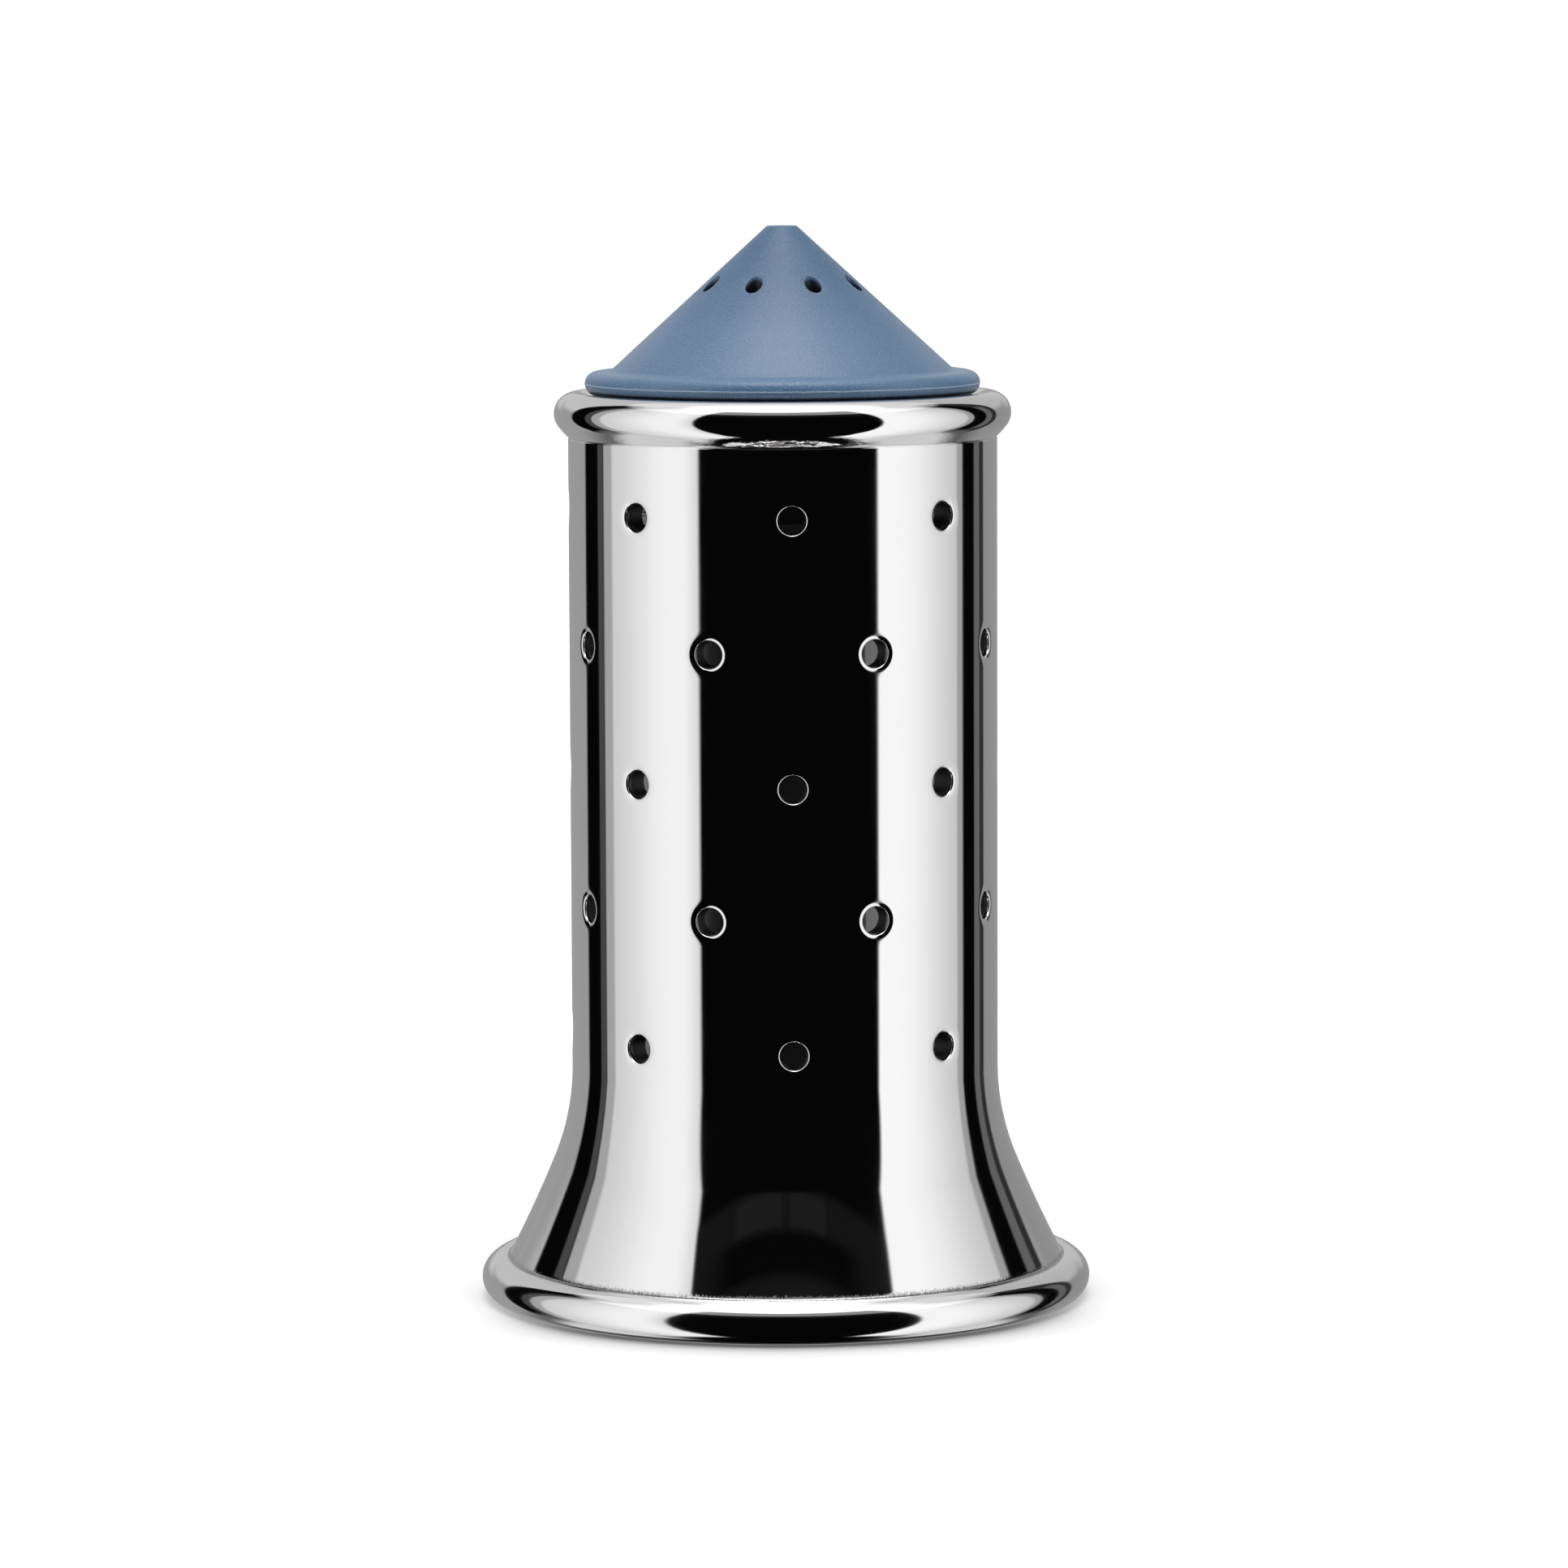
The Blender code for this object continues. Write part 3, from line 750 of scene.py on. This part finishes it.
steel, tree, shader = new_material("polished_steel")
at, level, from_axis, height_up = about_axis(tree)
normal = add(tree, "ShaderNodeNewGeometry").outputs["Normal"]
outward = vector_maths(tree, "DOT_PRODUCT", normal, level, output="Value")
facing = maths(tree, "DIVIDE", outward, from_axis)
inner = ease(tree, facing, -0.95, -0.85, 1, 0)
sideways = ease(tree, maths(tree, "ABSOLUTE", facing), 0.4, 0.7, 1, 0)
in_bore = product(tree, sideways, ease(tree, from_axis, TUBE - 0.7, TUBE - 0.35, 1, 0),
                  ease(tree, height_up, RIPPLE_FOOT - 2, RIPPLE_FOOT - 1, 1, 0))

groove_radius = groove_centre[0]
edge_height = groove_top + FRINGE / 2 - FRINGE_DROP
hairs = noise(tree, scaled(tree, at, 7.0, 7.0, 0.3))
ragged = maths(tree, "MULTIPLY_ADD", hairs, FRINGE, height_up)
dull_shaded_band = product(tree, ease(tree, ragged, edge_height, edge_height + FRINGE_WIDTH, 1, 0),
               ease(tree, from_axis, groove_radius - 0.04, groove_radius + 0.08, 1, 0),
               ease(tree, height_up, groove_top - 1, groove_top - 0.6))
on_bead = product(tree, ease(tree, height_up, groove_top - 0.9, groove_top - 0.5, 1, 0),
                  ease(tree, from_axis, groove_radius + 0.1, groove_radius + 0.5))
print("dull band up to height", round(edge_height, 2), "mm")

# %% [markdown]
# Colour and roughness follow these places. The inner wall also glows, very faintly: forty holes let light in,
# and it would take many bounces to fill the hollow with it.

# %% Colour and polish of the steel
STEEL_COLOUR, STEEL_HAZY = (0.806, 0.795, 0.800, 1), (0.776, 0.765, 0.768, 1)
STEEL_PAINTED_SHADE, PAINTED_SHADE_SHARE = (0.10, 0.098, 0.096, 1), 0.85
INNER_LIGHT = (0.0887, 0.0875, 0.0880, 1)
MIRROR, HAZY = 0.035, 0.06
BAND_POLISH, BEAD_POLISH, BORE_POLISH, INNER_POLISH = 0.2, 0.08, 0.5, 0.6

haze = noise(tree, scaled(tree, at, 0.09, 0.09, 0.09), detail=4.0)
polish = mix(tree, dull_shaded_band, ease(tree, haze, 0.3, 0.7, MIRROR, HAZY), BAND_POLISH)
polish = mix(tree, on_bead, polish, BEAD_POLISH)
polish = mix(tree, in_bore, polish, BORE_POLISH)
feed(shader, "Roughness", mix(tree, inner, polish, INNER_POLISH))
tint = blend_colour(tree, haze, STEEL_COLOUR, STEEL_HAZY)
# Painted shade: the dull band and the collars are darkened in colour, for the dark that the groove and the
# holes show.
painted_shade_mask = product(tree, maths(tree, "MAXIMUM", dull_shaded_band, in_bore), PAINTED_SHADE_SHARE)
feed(shader, "Base Color", blend_colour(tree, painted_shade_mask, tint, STEEL_PAINTED_SHADE))
feed(shader, "Emission Color", blend_colour(tree, inner, (0.0, 0.0, 0.0, 1), INNER_LIGHT))
shader.inputs["Emission Strength"].default_value = 1.0
shader.inputs["Metallic"].default_value = 1.0
sleeve.data.materials.append(steel)
print("roughness", MIRROR, "to", HAZY, "and", BEAD_POLISH, "on the foot bead")

# %% [markdown]
# Last comes the relief, far too fine to model: lines that the polishing wheel drew round the body, and
# ripples that the roller left on the flank under the rim. In the dull band the normal leans upwards a little,
# so that the hairs catch the lamp.

# %% Relief of the steel
RIPPLE_HEIGHT, WHEEL_HEIGHT = 0.024, 0.00025

wheel_lines = noise(tree, scaled(tree, at, 0.05, 0.05, 5.0), detail=3.0)
ripples = product(tree, noise(tree, scaled(tree, at, 0.5, 0.5, 1.6), detail=3.0),
                  ease(tree, height_up, RIPPLE_FOOT, RIPPLE_FOOT + 0.3),
                  ease(tree, height_up, RIPPLE_TOP - 0.5, RIPPLE_TOP, 1, 0))
relief = maths(tree, "MULTIPLY_ADD", ripples, RIPPLE_HEIGHT, product(tree, wheel_lines, WHEEL_HEIGHT))
lean = add(tree, "ShaderNodeCombineXYZ", 0.0, 0.0, product(tree, dull_shaded_band, FRINGE_TILT)).outputs[0]
uneven = bump(tree, relief, 1.0)
feed(uneven.node, "Normal", vector_maths(tree, "NORMALIZE", vector_maths(tree, "ADD", normal, lean)))
feed(shader, "Normal", uneven)
print("steel nodes:", len(tree.nodes))

# %% [markdown]
# ## Cone cap: the outline
# The cap is moulded in one piece: a hollow cone with a blunt tip, a flange with a full round edge, and a
# threaded skirt that goes down into the neck. Round the flange's edge, where the two halves of the mould
# met, runs a fine raised line. A Bevel modifier could round the corners, but it would cut into the thread and
# the pour holes too, so the outline itself gets a short curve at each corner.

# %% Rounded corners
CORNER, CORNER_STEPS, CORNER_LIMIT = 0.3, 5, 0.45


def rounded(corners, radius=CORNER):
    """Samples along straight stretches, with each inner corner rounded by a short curve."""
    corners = [np.array(corner, float) for corner in corners]
    samples = [corners[0]]
    for before, corner, after in zip(corners, corners[1:], corners[2:]):
        back, on = before - corner, after - corner
        cut = min(radius, CORNER_LIMIT * np.linalg.norm(back), CORNER_LIMIT * np.linalg.norm(on))
        start = corner + cut * back / np.linalg.norm(back)
        end = corner + cut * on / np.linalg.norm(on)
        for share in np.linspace(0, 1, CORNER_STEPS):
            samples.append((1 - share) ** 2 * start + 2 * share * (1 - share) * corner + share ** 2 * end)
    samples.append(corners[-1])
    return np.hstack([samples, np.zeros((len(samples), 2))])


def refine(samples, step):
    """Divide the straight stretches of an outline into steps of at most the given length."""
    finer = [samples[0]]
    for start, end in zip(samples, samples[1:]):
        count = max(1, math.ceil(np.hypot(*(end - start)[:2]) / step))
        finer += [start + (end - start) * k / count for k in range(1, count + 1)]
    return np.array(finer)


# %% Cap sizes
FLANGE, SKIRT_FOOT, TIP_TOP = extent("cone_cap")
SKIRT_LENGTH, FLANGE_HEIGHT, LEDGE = 6.4, 2.2, 2.34
SEAT = SKIRT_FOOT + SKIRT_LENGTH
TIP, TIP_ROUND, CONE_FILLET = 1.4, 0.35, 0.9
CAP_WALL, INNER_TIP = 1.6, 0.6
SKIRT, SKIRT_WALL = 14.43, 1.5
cone_foot = (FLANGE - LEDGE, SEAT + FLANGE_HEIGHT)
slope = math.atan2(TIP_TOP - cone_foot[1], cone_foot[0] - TIP)
PARTING = SEAT + FLANGE_HEIGHT / 2


def cone_height(radius, inset=0.0):
    """Height of the cone, or of a cone inside it by a wall's thickness."""
    return cone_foot[1] + (cone_foot[0] - radius) * math.tan(slope) - inset / math.cos(slope)


print("cap seat", round(SEAT, 2), "slope", round(math.degrees(slope), 2), "parting line", round(PARTING, 2))

# %% [markdown]
# The skirt has a two-start thread, which lifts the cap 4 mm with each turn. A ridge stands where height and
# turn together are a whole number of pitches, so the thread is a formula that swells the rings of the skirt.
# The neck of the container uses the same formula half a pitch on, and so the ridges pass between each other.

# %% Thread
THREAD_PITCH, THREAD_STARTS = 2.0, 2
RIDGE_HALF_WIDTH, RIDGE_FADE = 0.5, 0.6


def thread(height, shares, low, high, offset):
    """How much of the ridge stands at each share of a turn, from 0 to 1, fading out at both ends."""
    pitches = height / THREAD_PITCH - THREAD_STARTS * shares + offset
    away = np.abs(pitches - np.round(pitches)) * THREAD_PITCH
    ridge = np.where(away < RIDGE_HALF_WIDTH, 0.5 + 0.5 * np.cos(math.pi * away / RIDGE_HALF_WIDTH), 0)
    return ridge * np.clip(min(height - low, high - height) / RIDGE_FADE, 0, 1)


print("lead", THREAD_PITCH * THREAD_STARTS, "mm a turn")

# %% Cap outline
POUR_RING, POUR_HOLES, POUR = 7.2, 8, 0.8
POUR_CLOCKING = 21.3
POUR_CELL = (5.6, 8.8)
CAP_STEPS, POUR_ROWS = 192, 10
FLASH = 0.035
AXIS_RING = 0.3
SKIRT_RIDGE, SKIRT_THREAD = 0.27, (0.3, 4.6)
THREAD_STEP = 0.12


def cap_outline():
    """Down the cone and round the flange, then down the skirt and up the inside to the axis."""
    half = math.tan(slope / 2)
    lean = math.degrees(slope)
    tip = arc((TIP - TIP_ROUND * half, TIP_TOP - TIP_ROUND), TIP_ROUND, 90, 90 - lean, 6)
    fillet = arc((cone_foot[0] + CONE_FILLET * half, cone_foot[1] + CONE_FILLET), CONE_FILLET,
                 -90 - lean, -90, 8)
    edge = (FLANGE - FLANGE_HEIGHT / 2, PARTING)
    near, far = ((radius, cone_height(radius)) for radius in POUR_CELL)
    outside = outline(
        line((AXIS_RING, TIP_TOP), tip[0][:2], 2), tip, line(tip[-1][:2], near, 10),
        line(near, far, POUR_ROWS), line(far, fillet[0][:2], 16), fillet,
        line(fillet[-1][:2], (edge[0], cone_foot[1]), 3),
        arc(edge, FLANGE_HEIGHT / 2, 90, 4, 14), arc(edge, FLANGE_HEIGHT / 2, 4, -4, 2),
        arc(edge, FLANGE_HEIGHT / 2, -4, -90, 14))
    bore = SKIRT - SKIRT_WALL
    near, far = ((radius, cone_height(radius, CAP_WALL)) for radius in POUR_CELL)
    skirt = rounded([(edge[0], SEAT), (SKIRT, SEAT), (SKIRT, SKIRT_FOOT), (bore, SKIRT_FOOT),
                     (bore, cone_height(bore, CAP_WALL)), far])
    inside = outline(refine(skirt, THREAD_STEP), line(far, near, POUR_ROWS),
                     line(near, (INNER_TIP, cone_height(INNER_TIP, CAP_WALL)), 8))
    return outside, inside


def cap_swell(radius, height, shares):
    """The thread on the skirt, and the raised line on the flange."""
    if abs(radius - SKIRT) < 0.01:
        low, high = (SKIRT_FOOT + end for end in SKIRT_THREAD)
        return SKIRT_RIDGE * thread(height, shares, low, high, 0)
    return np.full(len(shares), FLASH if abs(radius - FLANGE) < 1e-4 else 0.0)


cap_outside, cap_inside = cap_outline()
cap_skin = Skin(CAP_STEPS)
turn_grid(cap_skin, np.vstack([cap_outside, cap_inside[1:]]), closed=False, swell=cap_swell)
print("cap rings:", cap_skin.levels)

# %% [markdown]
# The eight pour holes were made by straight pins in the mould, so they run upright through the sloping wall.
# Seen from above they are circles, so their rings are laid out in that plan and then lifted onto the cone.

# %% Pour holes
POUR_LIP = 0.05
POUR_SHARES = (0.3, 0.55, 0.78)
POUR_COLUMNS = CAP_STEPS // POUR_HOLES


def pour_hole(skin, turn, outer_border, inner_border):
    """Rings from the cone over a small lip, through the wall, and out to the inner cone."""
    angles = ring_angles(POUR_ROWS, POUR_COLUMNS)
    outward, sideways = around(np.full(len(angles), turn))
    spokes = sideways * np.cos(angles)[:, None] - outward * np.sin(angles)[:, None]
    upright = np.tile(UP, (len(angles), 1))

    def lifted(plan, inset, drop):
        heights = cone_height(np.hypot(plan[:, 0], plan[:, 1]), inset) - drop
        return skin.ring(plan + UP * heights[:, None], upright)

    def circle(radius):
        return outward * POUR_RING + spokes * radius

    def spread_plan(border, radius, inset):
        edge = np.array([skin.points[number] for number in border]) * (1, 1, 0)
        return [border] + [lifted(edge + share * (circle(radius) - edge), inset, 0) for share in POUR_SHARES]

    rings = spread_plan(outer_border, POUR + POUR_LIP, 0)
    for bend in np.radians((0, 45, 90)):
        lip = circle(POUR + POUR_LIP * (1 - math.sin(bend)))
        rings.append(lifted(lip, 0, POUR_LIP * (1 - math.cos(bend))))
    for share in (0.5, 1.0):
        rings.append(lifted(circle(POUR), CAP_WALL * share, 0))
    rings += spread_plan(inner_border, POUR, CAP_WALL)[::-1]
    for one, other in zip(rings, rings[1:]):
        skin.bridge(one, other)


outer_level = level_at(cap_outside, POUR_CELL[0], cone_height(POUR_CELL[0]))
inner_level = len(cap_outside) - 1 + level_at(cap_inside, POUR_CELL[1], cone_height(POUR_CELL[1], CAP_WALL))
clocking = round(POUR_CLOCKING / 360 * CAP_STEPS)
for hole in range(POUR_HOLES):
    middle = clocking + hole * POUR_COLUMNS
    first = middle - POUR_COLUMNS // 2
    pour_hole(cap_skin, math.radians(POUR_CLOCKING + 360 * hole / POUR_HOLES),
              cap_skin.border(outer_level, first, POUR_ROWS, POUR_COLUMNS),
              cap_skin.border(inner_level, first, POUR_ROWS, POUR_COLUMNS, upward=True))
fill_grid(cap_skin)
cap_skin.close(TIP_TOP, cap_inside[-1][1])
cap = store("blue_cap", cap_skin, exact=False)
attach(cap, "cap")
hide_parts("cone_cap")

# %% [markdown]
# ## Moulded plastic
# The cap is matt because its mould was etched: a fine grain, a fifth of a millimetre, that sparkles in the
# light, over faint cloudy patches. All the plastic pieces and the rubber have some grain and clouds, so these
# are a node group with the sizes as inputs. It gives a height and a cloud mask, and the shader stays outside.

# %% Grain group
def grain_group():
    """Etched grain as a height, and cloudy patches as a mask, with their sizes in millimetres."""
    group = bpy.data.node_groups.new("moulded_grain", "ShaderNodeTree")
    for name, size in (("Grain Size", 0.25), ("Cloud Size", 5.0)):
        socket = group.interface.new_socket(name=name, in_out="INPUT", socket_type="NodeSocketFloat")
        socket.default_value = size
    for name in ("Height", "Clouds"):
        group.interface.new_socket(name=name, in_out="OUTPUT", socket_type="NodeSocketFloat")
    sizes = add(group, "NodeGroupInput").outputs
    at = millimetres(group)
    fine, broad = (vector_maths(group, "DIVIDE", at, size) for size in sizes[:2])
    add(group, "NodeGroupOutput", noise(group, fine, 1.0), noise(group, broad, 3.0))
    return group


moulded_grain = grain_group()


def grain(tree, grain_size, cloud_size):
    """Place the grain in a material and give its height and clouds."""
    node = add(tree, "ShaderNodeGroup", node_tree=moulded_grain)
    node.inputs["Grain Size"].default_value = grain_size
    node.inputs["Cloud Size"].default_value = cloud_size
    return node.outputs["Height"], node.outputs["Clouds"]


print("group sockets:", [item.name for item in moulded_grain.interface.items_tree])

# %% [markdown]
# On the blue cap, too, the places come first. The parting line is pale and wanders a little. Whatever lies
# below the cone's face inside the skirt is in deep shade: that is the pour holes and the hollow. So is the
# lowest edge of the flange, where it meets the rim. Few bounces reach these places, and the photograph has
# them nearly black, so a mask darkens them. The skirt keeps its full colour, for when the cap is raised.

# %% Places on the cap
LINE_WIDTH, LINE_WANDER = 0.055, 0.12
LOWER_CONE_FOOT, LOWER_CONE_TOP = SEAT + 3.5, TIP_TOP - 3.0
FLANGE_SHADE = 0.66

blue, tree, shader = new_material("blue_plastic")
height, clouds = grain(tree, 0.17, 4.0)
at, level, from_axis, height_up = about_axis(tree)
wander = noise(tree, scaled(tree, at, 0.5, 0.5, 0.0))
wander = maths(tree, "MULTIPLY_ADD", wander, LINE_WANDER, PARTING - LINE_WANDER / 2)
from_line = maths(tree, "ABSOLUTE", maths(tree, "SUBTRACT", height_up, wander))
on_line = ease(tree, from_line, LINE_WIDTH * 0.4, LINE_WIDTH * 1.4, 1, 0)

surface = maths(tree, "MULTIPLY_ADD", from_axis, -math.tan(slope), cone_height(0))
surface = maths(tree, "MINIMUM", surface, TIP_TOP)
sunk = product(tree, ease(tree, maths(tree, "SUBTRACT", surface, height_up), 0.06, 0.5),
               ease(tree, from_axis, SKIRT - 0.9, SKIRT - 0.5, 1, 0))
within_flange = ease(tree, from_axis, SKIRT + 0.5, SKIRT + 0.9, 1, 0)
# Painted shade: the flange's lower half is darker towards the rim, where its face turns down.
lower_half = ease(tree, height_up, SEAT + 0.5, PARTING, FLANGE_SHADE, 1.0)
contact = ease(tree, height_up, SEAT + 0.40, SEAT + 0.58)
lit = maths(tree, "MAXIMUM", product(tree, lower_half, contact), within_flange)
lit = product(tree, lit, maths(tree, "SUBTRACT", 1.0, sunk))
painted_light_and_coat = ease(tree, height_up, LOWER_CONE_FOOT, LOWER_CONE_TOP, 1, 0)
print("handled from height", round(LOWER_CONE_FOOT, 1), "to", round(LOWER_CONE_TOP, 1), "mm")

# %% [markdown]
# The colour is built up in order: patches, pale points on the highest grains, shade, and the line. The lower
# part of the cone is a little lighter than the tip: painted light. A soft coat there gives it sheen.

# %% Blue plastic
BLUE, BLUE_PALE, BLUE_LINE = (0.083, 0.173, 0.304, 1), (0.093, 0.188, 0.324, 1), (0.34, 0.45, 0.58, 1)
BLUE_GLINT, BLUE_DEEP = (0.145, 0.250, 0.400, 1), (0.006, 0.013, 0.022, 1)
GLINT_SHARE, LOWER_CONE_COAT, TIP_PAINTED_SHADE = 0.7, 0.39, 0.82
GRAIN_DEPTH = 0.06

patchy = blend_colour(tree, ease(tree, clouds, 0.35, 0.65), BLUE, BLUE_PALE)
# Pale points on the highest grains are painted sparkle, a painted highlight on the grain besides the bump's
# own.
glinted = blend_colour(tree, ease(tree, height, 0.44, 0.66, 0, GLINT_SHARE), patchy, BLUE_GLINT)
# Painted light: the colour is a little lighter on the lower part of the cone than towards the tip.
lit = product(tree, lit, maths(tree, "MULTIPLY_ADD", painted_light_and_coat, 1 - TIP_PAINTED_SHADE, TIP_PAINTED_SHADE))
shaded = blend_colour(tree, lit, BLUE_DEEP, glinted)
feed(shader, "Base Color", blend_colour(tree, on_line, shaded, BLUE_LINE))
feed(shader, "Coat Weight", product(tree, painted_light_and_coat, LOWER_CONE_COAT))
shader.inputs["Coat Roughness"].default_value = 0.36
shader.inputs["Specular IOR Level"].default_value = 0.42
feed(shader, "Roughness", ease(tree, clouds, 0.3, 0.7, 0.35, 0.40))
feed(shader, "Normal", bump(tree, height, GRAIN_DEPTH))
cap.data.materials.append(blue)
print("blue plastic nodes:", len(tree.nodes))

# %% [markdown]
# ## Salt container
# Inside the sleeve stands a slim tube of glossy dark plastic. It widens through a sloping web to a shoulder
# that locks below the rim, and ends in the neck that takes the cap's thread. It is turned from one outline,
# as the cap is. Only its edges show through the holes, so its finish is plain: black, shiny, with a few soft
# flow marks from the mould.

# %% Container mesh
SHOULDER, CONTAINER_FOOT, LIP = extent("salt_container")
TUBE_OUTER, TUBE_WALL, WEB_ANGLE, WEB_WALL = 7.75, 1.2, 18, 1.4
NECK, NECK_WALL, NECK_LENGTH, SHOULDER_EDGE = 17.23, 2.4, 4.7, 1.2
CHAMFER, LIP_WIDTH = 1.83, 0.4
NECK_RIDGE, NECK_THREAD = 0.23, (6.8, 2.2)
web_fall = math.tan(math.radians(WEB_ANGLE))
neck_foot = LIP - NECK_LENGTH
web_edge = neck_foot - (SHOULDER - NECK) - SHOULDER_EDGE


def web(radius, above=0.0):
    """Height of the web's underside, or of its upper face."""
    return web_edge - (SHOULDER - radius) * web_fall + above / math.cos(math.radians(WEB_ANGLE))


def neck_swell(radius, height, shares):
    """The thread in the neck, half a pitch from that of the skirt."""
    if abs(radius - (NECK - NECK_WALL)) < 0.01:
        low, high = (LIP - end for end in NECK_THREAD)
        return -NECK_RIDGE * thread(height, shares, low, high, 0.5)
    return np.zeros(len(shares))


neck_bore, tube_bore = NECK - NECK_WALL, TUBE_OUTER - TUBE_WALL
corners = [(NECK - LIP_WIDTH, LIP), (NECK, LIP), (NECK, neck_foot), (SHOULDER, neck_foot - (SHOULDER - NECK)),
           (SHOULDER, web_edge), (TUBE_OUTER, web(TUBE_OUTER)), (TUBE_OUTER, CONTAINER_FOOT),
           (tube_bore, CONTAINER_FOOT), (tube_bore, web(tube_bore, WEB_WALL)),
           (neck_bore, web(neck_bore, WEB_WALL)), (neck_bore, LIP - CHAMFER), (neck_bore + CHAMFER, LIP)]
container_skin = Skin(CAP_STEPS)
turn_grid(container_skin, refine(rounded(corners), 0.5), closed=True, swell=neck_swell)
fill_grid(container_skin)
container = store("salt_tube", container_skin, exact=False)
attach(container, "body")
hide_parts("salt_container")

# %% Dark plastic
def plain_finish(piece, name, sizes, colours, roughness, depth):
    """Give a piece a grained finish, with two colours and two roughnesses in clouds."""
    material, tree, shader = new_material(name)
    height, clouds = grain(tree, *sizes)
    feed(shader, "Base Color", blend_colour(tree, clouds, *colours))
    feed(shader, "Roughness", ease(tree, clouds, 0.3, 0.7, *roughness))
    feed(shader, "Normal", bump(tree, height, depth))
    piece.data.materials.append(material)
    print(name, len(tree.nodes), "nodes")


BLACK_PLASTIC = (0.007, 0.007, 0.008, 1), (0.011, 0.011, 0.012, 1)
plain_finish(container, "dark_plastic", (1.2, 7.0), BLACK_PLASTIC, (0.14, 0.22), 0.004)

# %% [markdown]
# ## Base plug
# A moulded disc closes the foot from below and carries the tube on a short spigot. From the side it is
# hidden, so its outline is simple: rounded corners, and a small dimple where the plastic entered the mould.
# It has the same kind of grain as the cap, a little coarser and darker.

# %% Plug mesh and finish
PLUG, PLUG_FOOT, SPIGOT_TOP = extent("base_plug")
PLUG_TOP, PLUG_RIDGE, RIDGE_FOOT = PLUG_FOOT + 2.0, 0.55, 1.64
SPIGOT, SPIGOT_WALL = tube_bore - 0.3, 1.5
GATE, GATE_DEPTH, PLUG_CORNER = 2.0, 0.25, 0.25
corners = [(AXIS_RING, PLUG_TOP), (SPIGOT - SPIGOT_WALL, PLUG_TOP), (SPIGOT - SPIGOT_WALL, SPIGOT_TOP),
           (SPIGOT, SPIGOT_TOP), (SPIGOT, PLUG_TOP), (PLUG, PLUG_TOP), (PLUG, RIDGE_FOOT),
           (PLUG - PLUG_RIDGE, RIDGE_FOOT), (PLUG - PLUG_RIDGE, PLUG_FOOT), (GATE, PLUG_FOOT),
           (GATE - GATE_DEPTH, PLUG_FOOT + GATE_DEPTH), (AXIS_RING, PLUG_FOOT + GATE_DEPTH)]
samples = refine(rounded(corners, PLUG_CORNER), 2.0)
plug_skin = Skin(CAP_STEPS)
turn_grid(plug_skin, samples, closed=False)
fill_grid(plug_skin)
plug_skin.close(PLUG_TOP, PLUG_FOOT + GATE_DEPTH)
plug = store("foot_plug", plug_skin, exact=False)
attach(plug, "body")
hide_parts("base_plug")

DARK_GREY = (0.020, 0.020, 0.022, 1), (0.032, 0.032, 0.034, 1)
plain_finish(plug, "plug_plastic", (0.35, 6.0), DARK_GREY, (0.40, 0.50), 0.05)

# %% [markdown]
# ## Cap seal
# A rubber ring lies round the root of the skirt and is pressed into the chamfer of the neck. It rises with
# the cap. Blender's torus would do, but a turned circle keeps its normals exact. Rubber is matt and a little
# dusty, so its roughness is high and its colour slightly uneven.

# %% Seal
SEAL_OUTER, SEAL_FOOT, SEAL_TOP = extent("cap_seal")
section = (SEAL_TOP - SEAL_FOOT) / 2
seal_skin = Skin(CAP_STEPS)
ring_samples = arc((SEAL_OUTER - section, SEAL_FOOT + section), section, 360, 0, 24)[:-1]
turn_grid(seal_skin, ring_samples, closed=True)
fill_grid(seal_skin)
seal = store("rubber_ring", seal_skin, exact=True)
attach(seal, "seal")
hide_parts("cap_seal")

RUBBER = (0.018, 0.018, 0.018, 1), (0.034, 0.033, 0.032, 1)
plain_finish(seal, "seal_rubber", (0.15, 2.0), RUBBER, (0.62, 0.78), 0.02)
